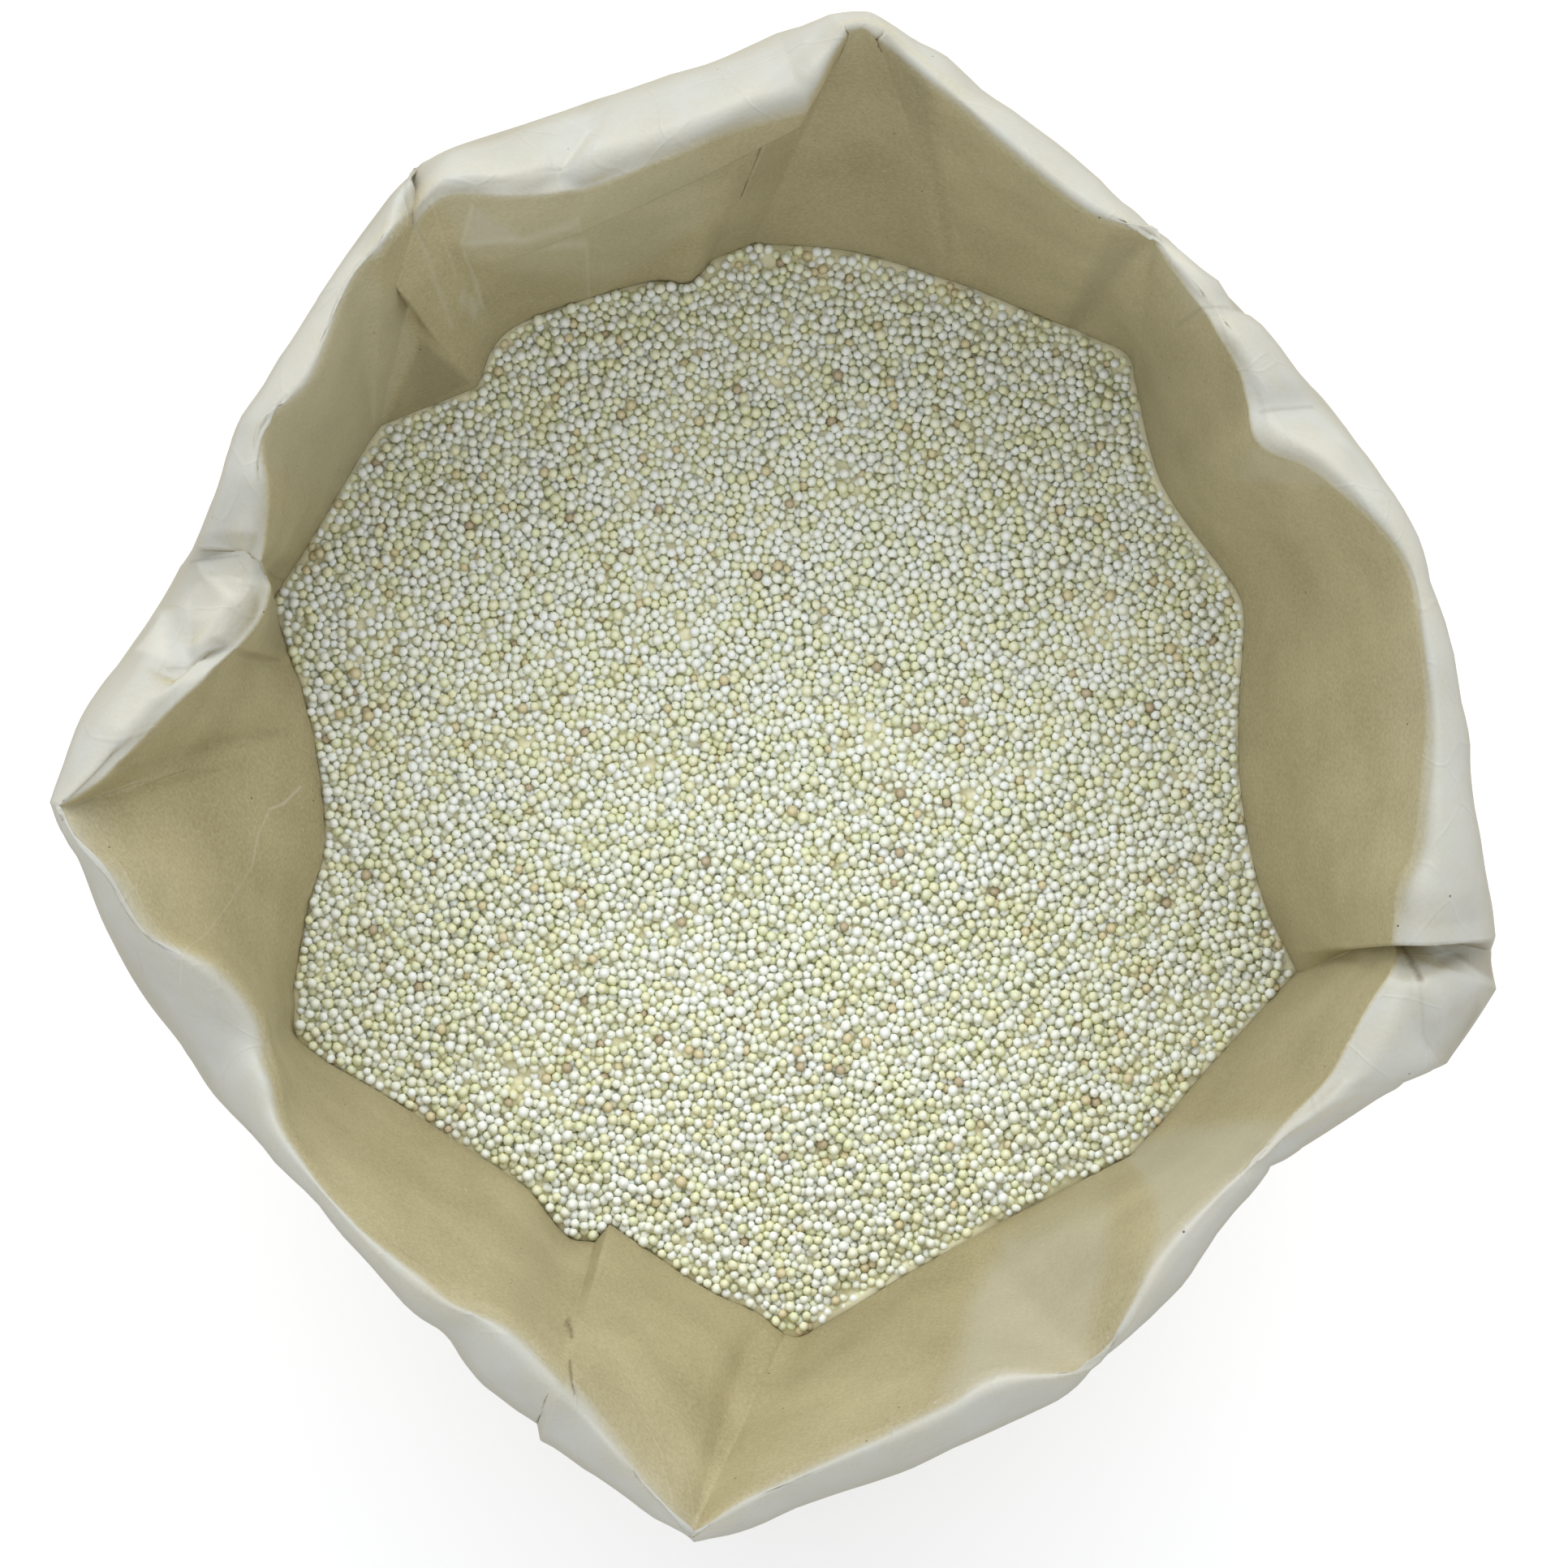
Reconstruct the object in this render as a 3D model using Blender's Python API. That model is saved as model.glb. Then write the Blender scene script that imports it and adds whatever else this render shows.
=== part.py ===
"""An open kraft paper sack, its mouth turned down into a cuff, full of quinoa.

All tables are in millimetres. Seen from above, x runs to the right, y to the top and z up.
The sack stands on z = 0. Its mouth is drawn by fold lines, the stations, which are counted
clockwise from its left corner. Three rings cross them: the line where the grain meets the
paper, the crest where the paper turns over, and the outermost edge of the cuff.
"""

import math
import random

import bmesh
import bpy
from mathutils import Vector, noise
from mathutils.geometry import delaunay_2d_cdt

MM = 0.001

# The paper
PAPER_WALL = 1.0          # two plies of stiff kraft with the air between them
FILL_HEIGHT = 150.0       # level of the grain
CREST_HEIGHT = 227.0      # where the wall starts to turn over
CUFF_LENGTH = 50.0        # how far the turned-down paper hangs below the crest
CUFF_LEAN = 0.2           # share of the way back to the grain line where the cuff ends

# The body below the grain line, a soft block bottom
BODY_HALF_WIDTH = 100.0   # along x, at the belly
BODY_HALF_DEPTH = 107.0   # along y, at the belly
BODY_SQUARENESS = 2.8     # 2 is an ellipse, more is squarer
BASE_SHARE = 0.88         # the flat base against the belly
BASE_FLAT_SHARE = 0.94    # the part of the base that touches the floor
BODY_ROWS = (             # height, share of the belly's size, share of the grain line's outline
    (3.0, 0.895, 0.0),
    (12.0, 0.945, 0.0),
    (45.0, 1.0, 0.1),
    (85.0, 1.02, 0.3),
    (122.0, 1.0, 0.7),
)
BODY_DENT = 2.2           # depth of the soft dents in the body
BODY_DENT_SIZE = 38.0     # distance from one dent to the next

# The grain
GRAIN_GAP = 0.35          # clearance between grain and paper
GRAIN_PITCH = 3.0         # spacing of the bumps, about one grain
GRAIN_BUMP = 0.55         # height of a bump above or below the surface
GRAIN_SWELL = 1.6         # slow unevenness of the poured surface
GRAIN_SWELL_SIZE = 55.0   # distance from one swell to the next
GRAIN_EDGE = 2.2          # width of the bare strip next to the paper
GRAIN_SEED = 7

STATIONS = 70

FILL_LINE = (             # station, x, y
    (0, -95, 10), (2, -98, 20.5), (3, -101, 28), (5, -104, 37), (6, -101, 41), (7, -93, 54),
    (9, -84, 69), (11, -82.5, 71), (12, -81.5, 72.5), (13, -62, 80), (15, -56, 91),
    (16, -42, 97), (17, -27, 101), (18, -19, 100.5), (19, -14, 105.5), (20, -6, 109.5),
    (21, 15, 107.5), (22, 39, 100), (24, 60, 91), (25, 69, 87), (26, 71, 81), (28, 75, 64),
    (29, 79, 56), (31, 91, 40), (32, 93, 33), (33, 92, 17), (34, 92, 2), (35, 94, -12),
    (36, 97, -23.5), (37, 102, -34), (38, 104, -38), (39, 101, -41), (41, 87, -56),
    (43, 79, -65), (45, 70, -75), (46, 54, -83), (49, 28, -97), (53, 4, -111.5),
    (54, 0, -111.5), (55, -5, -107), (56, -16, -102), (57, -35, -89), (58, -38, -92.5),
    (59, -44, -91), (60, -51.5, -82), (61, -61, -75.5), (62, -77, -65), (64, -98, -52),
    (65, -99, -45), (66, -99, -39), (67, -96, -24), (68, -93, -13), (69, -93.5, -1.5),
)

CREST_LINE = (            # station, x, y
    (0, -128, -4), (1, -119, 2), (2, -111, 12), (3, -99, 24), (4, -95, 30), (5, -93, 36),
    (6, -94, 40), (7, -92, 51), (8, -91, 63), (9, -83, 72), (10, -76, 89), (11, -71.5, 97),
    (12, -64, 103), (13, -72.5, 92.5), (14, -61, 104), (15, -48, 104.3), (16, -36, 105.5),
    (17, -22, 110.5), (18, -9, 116), (19, 4, 119), (20, 11, 132), (21, 14, 132.5),
    (22, 17, 131), (23, 31, 119), (24, 43, 109), (25, 54, 101), (26, 65, 97), (27, 75, 83),
    (28, 81, 73), (29, 84, 61), (30, 95, 55), (31, 109, 41), (32, 113, 25), (33, 114, 12),
    (34, 113, -1), (35, 112, -12), (36, 109, -19), (37, 108, -28.5), (38, 112, -26),
    (39, 110, -30.5), (40, 104, -39), (41, 98, -50), (42, 95, -54), (43, 91, -58),
    (45, 83, -66), (46, 73, -75), (47, 65, -84), (48, 59, -96), (49, 52, -103),
    (50, 37, -104), (51, 28, -109), (52, 11, -117), (53, -4, -124), (54, -16, -132),
    (55, -26, -120), (56, -35, -108.5), (57, -38.5, -105), (58, -40, -103.5),
    (59, -46, -97), (60, -52, -93), (61, -60, -90), (62, -75, -79), (63, -89, -63),
    (64, -92, -51), (65, -95, -42), (66, -101, -33), (67, -112, -26), (68, -118, -16),
    (69, -124, -10),
)

RIM_LINE = (              # station, x, y
    (0, -131, -3), (1, -127, 10), (2, -124, 17), (3, -119, 26), (4, -115, 33), (5, -111, 40),
    (6, -108, 43), (7, -103, 52), (8, -99, 62), (9, -92, 74), (10, -82, 90), (11, -71, 106),
    (12, -67.5, 109.5), (13, -66, 112.5), (14, -59, 115), (15, -47, 119), (16, -33, 124),
    (17, -22, 126.5), (18, -12, 129.5), (19, -1, 134.5), (20, 8, 136), (21, 14, 136),
    (22, 20, 134), (23, 31, 128.5), (24, 46, 117), (25, 61, 104.5), (26, 69, 98.5),
    (27, 82, 86), (28, 92, 75), (29, 98, 69), (30, 105, 59), (31, 113, 44), (32, 118, 29),
    (33, 122, 12), (34, 124, -2), (35, 126, -14), (36, 127.5, -21), (37, 128.5, -27.5),
    (38, 128, -30), (39, 129, -37), (40, 121, -48.5), (41, 119, -51), (42, 112, -53.5),
    (43, 109, -56), (44, 92.5, -66), (45, 87, -68.5), (46, 81, -77), (47, 71, -90),
    (48, 60, -100.5), (49, 52, -107.5), (50, 40, -114), (51, 25, -121.5), (52, 11, -127),
    (53, -6, -133.5), (54, -16, -136), (55, -30, -127), (56, -40, -120), (57, -43.5, -118),
    (58, -44, -115), (59, -53, -107.5), (60, -60, -100), (61, -68, -93), (62, -82, -78.5),
    (63, -97, -64), (64, -105, -57), (65, -111, -48), (66, -117, -39), (67, -123, -26.5),
    (68, -127, -14.5), (69, -130, -8),
)

CREST_DIPS = (            # station, half width, how far the crest sinks and the rim with it
    (4.5, 4.0, 13.0, 13.0),     # crumpled left side
    (12.6, 1.5, 17.0, 2.0),     # tube of paper at the upper left corner
    (21.0, 3.0, -4.0, -4.0),    # peak of the gusset at the top
    (38.3, 1.3, 13.0, 3.0),     # paper tucked under at the right corner
    (64.5, 4.0, 14.0, 14.0),    # slack lower left side
)
FLAP = (                  # station, height share of its lower edge, how far it stands proud
    (14, 0.62, 0.0), (15, 0.62, 1.0), (16, 0.66, 2.0), (17, 0.72, 3.0), (18, 0.8, 4.0),
    (19, 0.9, 4.5), (20, 0.9, 0.0),
)
FLAP_LOWEST = 0.6         # height share of the flap's row where there is no flap
FLAP_LIP = 0.07           # height share between the two rows of its edge
WALL_SHARES = (0.3, 0.5)  # heights of the plain rows between grain and flap
ROLL_TOP_SHARE = 0.35     # where the top of the roll lies between crest and rim
ROLL_RISE_SHARE = 0.28    # rise of the roll against its width
ROLL_RISE_MOST = 3.5
RIM_DROP = 5.0            # fall from crest to rim
RIM_DROP_SHARE = 0.3      # more of it where the roll is wide

PAPER_COLOUR = (0.50, 0.45, 0.30, 1.0)
GRAIN_COLOUR = (0.72, 0.69, 0.52, 1.0)


def clear_scene():
    """Take away whatever the scene holds."""
    for item in list(bpy.data.objects):
        bpy.data.objects.remove(item, do_unlink=True)


def on_ring(ring, station):
    """Point of a ring at a station, straight between its key points."""
    for index, (first, *start) in enumerate(ring):
        following, *end = ring[(index + 1) % len(ring)]
        if following <= first:
            following += STATIONS
        if first <= station < following:
            share = (station - first) / (following - first)
            return Vector(start).lerp(Vector(end), share)
    raise ValueError("no such station")


def bell(distance, half_width):
    """1 in the middle, falling smoothly to 0 at half_width."""
    if abs(distance) >= half_width:
        return 0.0
    return 0.5 + 0.5 * math.cos(math.pi * distance / half_width)


def mouth_heights(station):
    """Heights of the crest and the rim, which dip where the paper is slack or tucked under."""
    crest_height = CREST_HEIGHT
    rim_height = CREST_HEIGHT
    for middle, half_width, crest_depth, rim_depth in CREST_DIPS:
        distance = (station - middle + STATIONS / 2) % STATIONS - STATIONS / 2
        crest_height -= crest_depth * bell(distance, half_width)
        rim_height -= rim_depth * bell(distance, half_width)
    return crest_height, rim_height


def flap_edge(station):
    """Height share and overhang of the flap that laps over the top wall."""
    for (first, low_share, low_proud), (last, high_share, high_proud) in zip(FLAP, FLAP[1:]):
        if first <= station <= last:
            share = (station - first) / (last - first)
            return (low_share + (high_share - low_share) * share,
                    low_proud + (high_proud - low_proud) * share)
    return FLAP_LOWEST, 0.0


def body_outline(direction, size):
    """Rounded block outline of the body, by direction from the middle."""
    across = abs(math.cos(direction)) / (BODY_HALF_WIDTH * size)
    along = abs(math.sin(direction)) / (BODY_HALF_DEPTH * size)
    reach = (across ** BODY_SQUARENESS + along ** BODY_SQUARENESS) ** (-1 / BODY_SQUARENESS)
    return Vector((reach * math.cos(direction), reach * math.sin(direction)))


def dent(point, amount):
    """Push a point of the body in or out, softly and unevenly."""
    push = amount * noise.noise(point / BODY_DENT_SIZE)
    outward = Vector((point.x, point.y, 0)).normalized()
    return point + outward * push


def column(station):
    """Points of the paper along one fold line, from the base up and over to the cuff's edge."""
    fill = on_ring(FILL_LINE, station)
    crest = on_ring(CREST_LINE, station)
    rim = on_ring(RIM_LINE, station)
    direction = math.atan2(fill.y, fill.x)
    points = []

    base = body_outline(direction, BASE_SHARE * BASE_FLAT_SHARE)
    points.append(Vector((base.x, base.y, PAPER_WALL / 2)))
    for height, size, share in BODY_ROWS:
        spot = body_outline(direction, size).lerp(fill, share)
        soft = BODY_DENT * min(1.0, height / 40.0) * (1 - share)
        points.append(dent(Vector((spot.x, spot.y, height)), soft))
    points.append(Vector((fill.x, fill.y, FILL_HEIGHT)))

    top, rim_top = mouth_heights(station)
    outward = (crest - fill).normalized() if (crest - fill).length > 12 else fill.normalized()
    flap_share, proud = flap_edge(station)
    rise = top - FILL_HEIGHT
    for share in WALL_SHARES:
        spot = fill.lerp(crest, share)
        points.append(Vector((spot.x, spot.y, FILL_HEIGHT + rise * share)))
    low_share = flap_share - FLAP_LIP
    under = fill.lerp(crest, low_share) + outward * proud
    points.append(Vector((under.x, under.y, FILL_HEIGHT + rise * low_share)))
    over = fill.lerp(crest, flap_share)
    points.append(Vector((over.x, over.y, FILL_HEIGHT + rise * flap_share)))
    points.append(Vector((crest.x, crest.y, top)))

    width = (rim - crest).length
    roll = crest.lerp(rim, ROLL_TOP_SHARE)
    roll_rise = min(ROLL_RISE_MOST, width * ROLL_RISE_SHARE)
    roll_height = top + (rim_top - top) * ROLL_TOP_SHARE + roll_rise
    points.append(Vector((roll.x, roll.y, roll_height)))
    rim_height = rim_top - RIM_DROP - RIM_DROP_SHARE * width
    points.append(Vector((rim.x, rim.y, rim_height)))
    edge = rim.lerp(fill, CUFF_LEAN)
    edge_height = rim_top - CUFF_LENGTH
    middle = rim.lerp(edge, 0.5)
    points.append(Vector((middle.x, middle.y, (rim_height + edge_height) / 2)))
    points.append(Vector((edge.x, edge.y, edge_height)))
    return points


FILL_ROW = 1 + len(BODY_ROWS)


def paper_mesh():
    """The paper's middle surface as triangles, and its grid of vertices."""
    shape = bmesh.new()
    grid = []
    for station in range(STATIONS):
        grid.append([shape.verts.new(point * MM) for point in column(station)])
    rows = len(grid[0])
    for station in range(STATIONS):
        here = grid[station]
        ahead = grid[(station + 1) % STATIONS]
        for row in range(rows - 1):
            corners = (here[row], here[row + 1], ahead[row + 1], ahead[row])
            shape.faces.new(corners[:3])
            shape.faces.new((corners[0], corners[2], corners[3]))
    middle = shape.verts.new((0, 0, PAPER_WALL / 2 * MM))
    for station in range(STATIONS):
        shape.faces.new((grid[station][0], grid[(station + 1) % STATIONS][0], middle))
    shape.normal_update()
    return shape, grid, middle


def plain_material(name, colour, roughness):
    """A material of one colour."""
    material = bpy.data.materials.new(name)
    material.use_nodes = True
    shader = material.node_tree.nodes["Principled BSDF"]
    shader.inputs["Base Color"].default_value = colour
    shader.inputs["Roughness"].default_value = roughness
    shader.inputs["Metallic"].default_value = 0.0
    material.diffuse_color = colour
    return material


def add_object(name, shape, material):
    """Turn a bmesh into an object of the scene."""
    mesh = bpy.data.meshes.new(name)
    shape.to_mesh(mesh)
    shape.free()
    item = bpy.data.objects.new(name, mesh)
    item.data.materials.append(material)
    bpy.context.scene.collection.objects.link(item)
    return item


def make_sack():
    """The sack: one sheet of paper given its thickness."""
    shape, _, _ = paper_mesh()
    sack = add_object("sack", shape, plain_material("kraft_paper", PAPER_COLOUR, 0.8))
    thicken = sack.modifiers.new("thickness", "SOLIDIFY")
    thicken.thickness = PAPER_WALL * MM
    thicken.offset = 0.0
    thicken.use_rim = True
    return sack


def inner_face(vertex):
    """A point of the paper moved in by half the wall and the gap, in millimetres."""
    return vertex.co / MM - vertex.normal * (PAPER_WALL / 2 + GRAIN_GAP)


def grain_height(x, y, draw):
    """Height of the grain surface: slow swells and a bump the size of a grain."""
    swell = GRAIN_SWELL * noise.noise(Vector((x, y, 0)) / GRAIN_SWELL_SIZE)
    return FILL_HEIGHT + swell + draw.uniform(-GRAIN_BUMP, GRAIN_BUMP)


def is_inside(x, y, outline, margin):
    """Whether a point lies inside an outline and at least margin from it."""
    inside = False
    for start, end in zip(outline, outline[1:] + outline[:1]):
        if (start.y > y) != (end.y > y):
            crossing = start.x + (y - start.y) * (end.x - start.x) / (end.y - start.y)
            if x < crossing:
                inside = not inside
        along = end - start
        share = max(0.0, min(1.0, (Vector((x, y)) - start).dot(along) / along.length_squared))
        if (start + along * share - Vector((x, y))).length < margin:
            return False
    return inside


def make_quinoa():
    """The grain: one body that fills the sack, with grain-sized bumps on top."""
    paper, grid, base_middle = paper_mesh()
    draw = random.Random(GRAIN_SEED)
    rings = []
    for row in range(FILL_ROW + 1):
        rings.append([inner_face(line[row]) for line in grid])
    floor = inner_face(base_middle)
    paper.free()

    outline = [point.xy for point in rings[-1]]
    points = list(outline)
    reach = int(1.2 * max(BODY_HALF_WIDTH, BODY_HALF_DEPTH) / GRAIN_PITCH)
    row_pitch = GRAIN_PITCH * math.sqrt(3) / 2
    for row in range(-reach, reach + 1):
        for place in range(-reach, reach + 1):
            x = (place + 0.5 * (row % 2)) * GRAIN_PITCH
            y = row * row_pitch
            if is_inside(x, y, outline, GRAIN_EDGE):
                points.append(Vector((x, y)))
    borders = [(index, (index + 1) % STATIONS) for index in range(STATIONS)]
    flat, _, faces, _, _, _ = delaunay_2d_cdt(points, borders, [], 1, 1e-6)

    shape = bmesh.new()
    top = []
    for index, spot in enumerate(flat):
        height = grain_height(spot.x, spot.y, draw) if index >= STATIONS else rings[-1][index].z
        top.append(shape.verts.new(Vector((spot.x, spot.y, height)) * MM))
    for face in faces:
        shape.faces.new([top[index] for index in face])
    lower = [[shape.verts.new(point * MM) for point in ring] for ring in rings[:-1]]
    lower.append(top[:STATIONS])
    for below, above in zip(lower, lower[1:]):
        for index in range(STATIONS):
            ahead = (index + 1) % STATIONS
            shape.faces.new((below[index], above[index], above[ahead]))
            shape.faces.new((below[index], above[ahead], below[ahead]))
    middle = shape.verts.new(floor * MM)
    for index in range(STATIONS):
        shape.faces.new((lower[0][index], lower[0][(index + 1) % STATIONS], middle))
    bmesh.ops.recalc_face_normals(shape, faces=shape.faces)
    return add_object("quinoa", shape, plain_material("quinoa_grain", GRAIN_COLOUR, 0.6))


clear_scene()
make_sack()
make_quinoa()
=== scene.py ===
# %% [markdown]
# An open paper sack of quinoa, looked at from straight above. This lesson builds two things
# round the measured solids of the same sack: a sheet of kraft paper with its real folds, and
# thousands of seeds that are dropped and settled until they lie as poured grain does. All
# tables are in millimetres, x to the right, y to the top and z up.

# %% Start from the measured solids
import math

import bpy
import numpy as np
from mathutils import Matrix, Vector, kdtree, noise
from mathutils.bvhtree import BVHTree
from mathutils.geometry import delaunay_2d_cdt


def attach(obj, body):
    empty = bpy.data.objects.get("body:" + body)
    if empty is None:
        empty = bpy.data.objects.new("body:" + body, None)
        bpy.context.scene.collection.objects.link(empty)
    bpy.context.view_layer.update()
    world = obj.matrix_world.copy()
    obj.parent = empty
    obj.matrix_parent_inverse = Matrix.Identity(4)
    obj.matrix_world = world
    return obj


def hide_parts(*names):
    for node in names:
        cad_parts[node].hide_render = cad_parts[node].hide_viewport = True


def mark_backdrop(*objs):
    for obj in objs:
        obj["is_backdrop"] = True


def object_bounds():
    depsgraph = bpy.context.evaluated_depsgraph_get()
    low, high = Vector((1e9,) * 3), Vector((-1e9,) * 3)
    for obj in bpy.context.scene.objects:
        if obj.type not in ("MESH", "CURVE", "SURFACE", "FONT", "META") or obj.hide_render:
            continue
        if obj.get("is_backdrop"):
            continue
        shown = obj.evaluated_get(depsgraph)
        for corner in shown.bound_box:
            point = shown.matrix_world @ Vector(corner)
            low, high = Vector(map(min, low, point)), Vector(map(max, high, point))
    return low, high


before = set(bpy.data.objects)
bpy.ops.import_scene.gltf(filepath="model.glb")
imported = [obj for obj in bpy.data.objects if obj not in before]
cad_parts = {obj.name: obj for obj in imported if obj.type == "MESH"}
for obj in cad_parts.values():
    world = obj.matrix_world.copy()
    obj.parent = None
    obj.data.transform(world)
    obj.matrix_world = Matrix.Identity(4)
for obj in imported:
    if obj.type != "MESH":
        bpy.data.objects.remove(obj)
cad_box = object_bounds()
MM = 0.001
print("CAD box", cad_box)

# %% [markdown]
# The picture was taken from straight above the middle of the sack. A camera looking down with
# a mild telephoto angle shows the inner walls in perspective, as the picture does: the rim is
# nearer to the camera than the grain and so looks wider.

# %% Camera straight above the mouth
CAMERA_HEIGHT = 800.0     # above the floor, 650 above the grain
FRAME_AT_GRAIN = 315.6    # width of the picture at the grain's level
GRAIN_LEVEL = 150.0

camera_data = bpy.data.cameras.new("camera_above")
camera_data.angle = 2 * math.atan(FRAME_AT_GRAIN / 2 / (CAMERA_HEIGHT - GRAIN_LEVEL))
camera_data.clip_start = 0.01
camera = bpy.data.objects.new("camera_above", camera_data)
camera.location = (0, 0, CAMERA_HEIGHT * MM)
bpy.context.scene.collection.objects.link(camera)
bpy.context.scene.camera = camera
print("camera angle", round(math.degrees(camera_data.angle), 2))

# %% [markdown]
# Studio light: pale surroundings light the sack from all sides, and one wide soft lamp beyond
# the top of the picture adds a direction, so that the top wall lies in shade and the bottom
# wall is lit. The strengths were found by rendering each light alone and comparing the mix.

# %% Floor, soft lamp and pale surroundings
LAMP_HEIGHT = 1.0         # metres above the floor
LAMP_SHIFT = 1.0          # metres beyond the middle, towards the top of the picture
LAMP_ACROSS = 1.8         # metres, side to side
LAMP_ALONG = 0.8
LAMP_POWER = 13.0         # watts
WORLD_STRENGTH = 1.06
FLOOR_REACH = 3.0         # metres from the middle to each edge


def add_plain_colour(name, colour, roughness):
    """A material with one slow, faint change of tone, for what only stands around."""
    material = bpy.data.materials.new(name)
    material.use_nodes = True
    nodes = material.node_tree.nodes
    links = material.node_tree.links
    shader = nodes["Principled BSDF"]
    shader.inputs["Roughness"].default_value = roughness
    tone = nodes.new("ShaderNodeTexNoise")
    tone.inputs["Scale"].default_value = 3.0
    ramp = nodes.new("ShaderNodeValToRGB")
    ramp.color_ramp.elements[0].color = (*[c * 0.98 for c in colour], 1)
    ramp.color_ramp.elements[1].color = (*colour, 1)
    links.new(tone.outputs["Fac"], ramp.inputs["Fac"])
    links.new(ramp.outputs["Color"], shader.inputs["Base Color"])
    return material


def add_floor():
    """A wide pale floor under the sack."""
    mesh = bpy.data.meshes.new("floor")
    sides = ((-1, -1), (1, -1), (1, 1), (-1, 1))
    corners = [(x * FLOOR_REACH, y * FLOOR_REACH, 0) for x, y in sides]
    mesh.from_pydata(corners, [], [(0, 1, 2, 3)])
    floor = bpy.data.objects.new("floor", mesh)
    mesh.materials.append(add_plain_colour("pale_floor", (0.95, 0.95, 0.95), 0.9))
    bpy.context.scene.collection.objects.link(floor)
    return floor


def add_lamp(name, location, width, depth, power):
    """A soft rectangular lamp that looks at the mouth of the sack."""
    data = bpy.data.lights.new(name, "AREA")
    data.shape = "RECTANGLE"
    data.size = width
    data.size_y = depth
    data.energy = power
    lamp = bpy.data.objects.new(name, data)
    lamp.location = location
    aim = Vector((0, 0, GRAIN_LEVEL * MM)) - Vector(location)
    lamp.rotation_euler = aim.to_track_quat("-Z", "Y").to_euler()
    bpy.context.scene.collection.objects.link(lamp)
    return lamp


floor = add_floor()
lamp = add_lamp("soft_lamp", (0.0, LAMP_SHIFT, LAMP_HEIGHT), LAMP_ACROSS, LAMP_ALONG, LAMP_POWER)
world = bpy.data.worlds.new("pale_world")
world.use_nodes = True
world.node_tree.nodes["Background"].inputs["Color"].default_value = (0.97, 0.98, 1.0, 1)
world.node_tree.nodes["Background"].inputs["Strength"].default_value = WORLD_STRENGTH
bpy.context.scene.world = world
bpy.context.scene.view_settings.view_transform = "Standard"
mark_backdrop(floor, lamp)
print("lamp power", LAMP_POWER)

# %% [markdown]
# The paper is one sheet. It rises from the base, passes the grain line, leans outwards, turns
# over the crest and hangs down again as a cuff. Seen from above, three irregular rings tell
# its whole shape: the grain line, the crest and the rim. Each ring is held by the few points
# where it changes direction. The stations number the fold lines clockwise from the left
# corner, and the same station on two rings belongs to the same fold of the paper.

# %% Three rings of the mouth
STATIONS = 70

FILL_LINE = (             # station, x, y
    (0, -95, 10), (2, -98, 20.5), (3, -101, 28), (5, -104, 37), (6, -101, 41), (7, -93, 54),
    (9, -84, 69), (11, -82.5, 71), (12, -81.5, 72.5), (13, -62, 80), (15, -56, 91),
    (16, -42, 97), (17, -27, 101), (18, -19, 100.5), (19, -14, 105.5), (20, -6, 109.5),
    (21, 15, 107.5), (22, 39, 100), (24, 60, 91), (25, 69, 87), (26, 71, 81), (28, 75, 64),
    (29, 79, 56), (31, 91, 40), (32, 93, 33), (33, 92, 17), (34, 92, 2), (35, 94, -12),
    (36, 97, -23.5), (37, 102, -34), (38, 104, -38), (39, 101, -41), (41, 87, -56),
    (43, 79, -65), (45, 70, -75), (46, 54, -83), (49, 28, -97), (53, 4, -111.5),
    (54, 0, -111.5), (55, -5, -107), (56, -16, -102), (57, -35, -89), (58, -38, -92.5),
    (59, -44, -91), (60, -51.5, -82), (61, -61, -75.5), (62, -77, -65), (64, -98, -52),
    (65, -99, -45), (66, -99, -39), (67, -96, -24), (68, -93, -13), (69, -93.5, -1.5),
)

CREST_LINE = (            # station, x, y
    (0, -128, -4), (1, -119, 2), (2, -111, 12), (3, -99, 24), (4, -95, 30), (5, -93, 36),
    (6, -94, 40), (7, -92, 51), (8, -91, 63), (9, -83, 72), (10, -76, 89), (11, -71, 93.5),
    (12, -64, 103), (13, -72.5, 92.5), (14, -61, 104), (15, -48, 104.3), (16, -36, 105.5),
    (17, -22, 110.5), (18, -9, 116), (19, 4, 119), (20, 11, 132), (21, 14, 132.5),
    (22, 17, 131), (23, 31, 119), (24, 43, 109), (25, 54, 101), (26, 65, 97), (27, 75, 83),
    (28, 81, 73), (29, 84, 61), (30, 95, 55), (31, 109, 41), (32, 113, 25), (33, 114, 12),
    (34, 113, -1), (35, 112, -12), (36, 109, -19), (37, 108, -28.5), (38, 112, -26),
    (39, 110, -30.5), (40, 104, -39), (41, 98, -50), (42, 95, -54), (43, 91, -58),
    (45, 83, -66), (46, 73, -75), (47, 65, -84), (48, 59, -96), (49, 52, -103),
    (50, 37, -104), (51, 28, -109), (52, 11, -117), (53, -4, -124), (54, -16, -132),
    (55, -26, -120), (56, -35, -108.5), (57, -38.5, -105), (58, -40, -103.5),
    (59, -46, -97), (60, -52, -93), (61, -60, -90), (62, -75, -79), (63, -89, -63),
    (64, -92, -51), (65, -95, -42), (66, -101, -33), (67, -112, -26), (68, -118, -16),
    (69, -124, -10),
)

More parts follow.
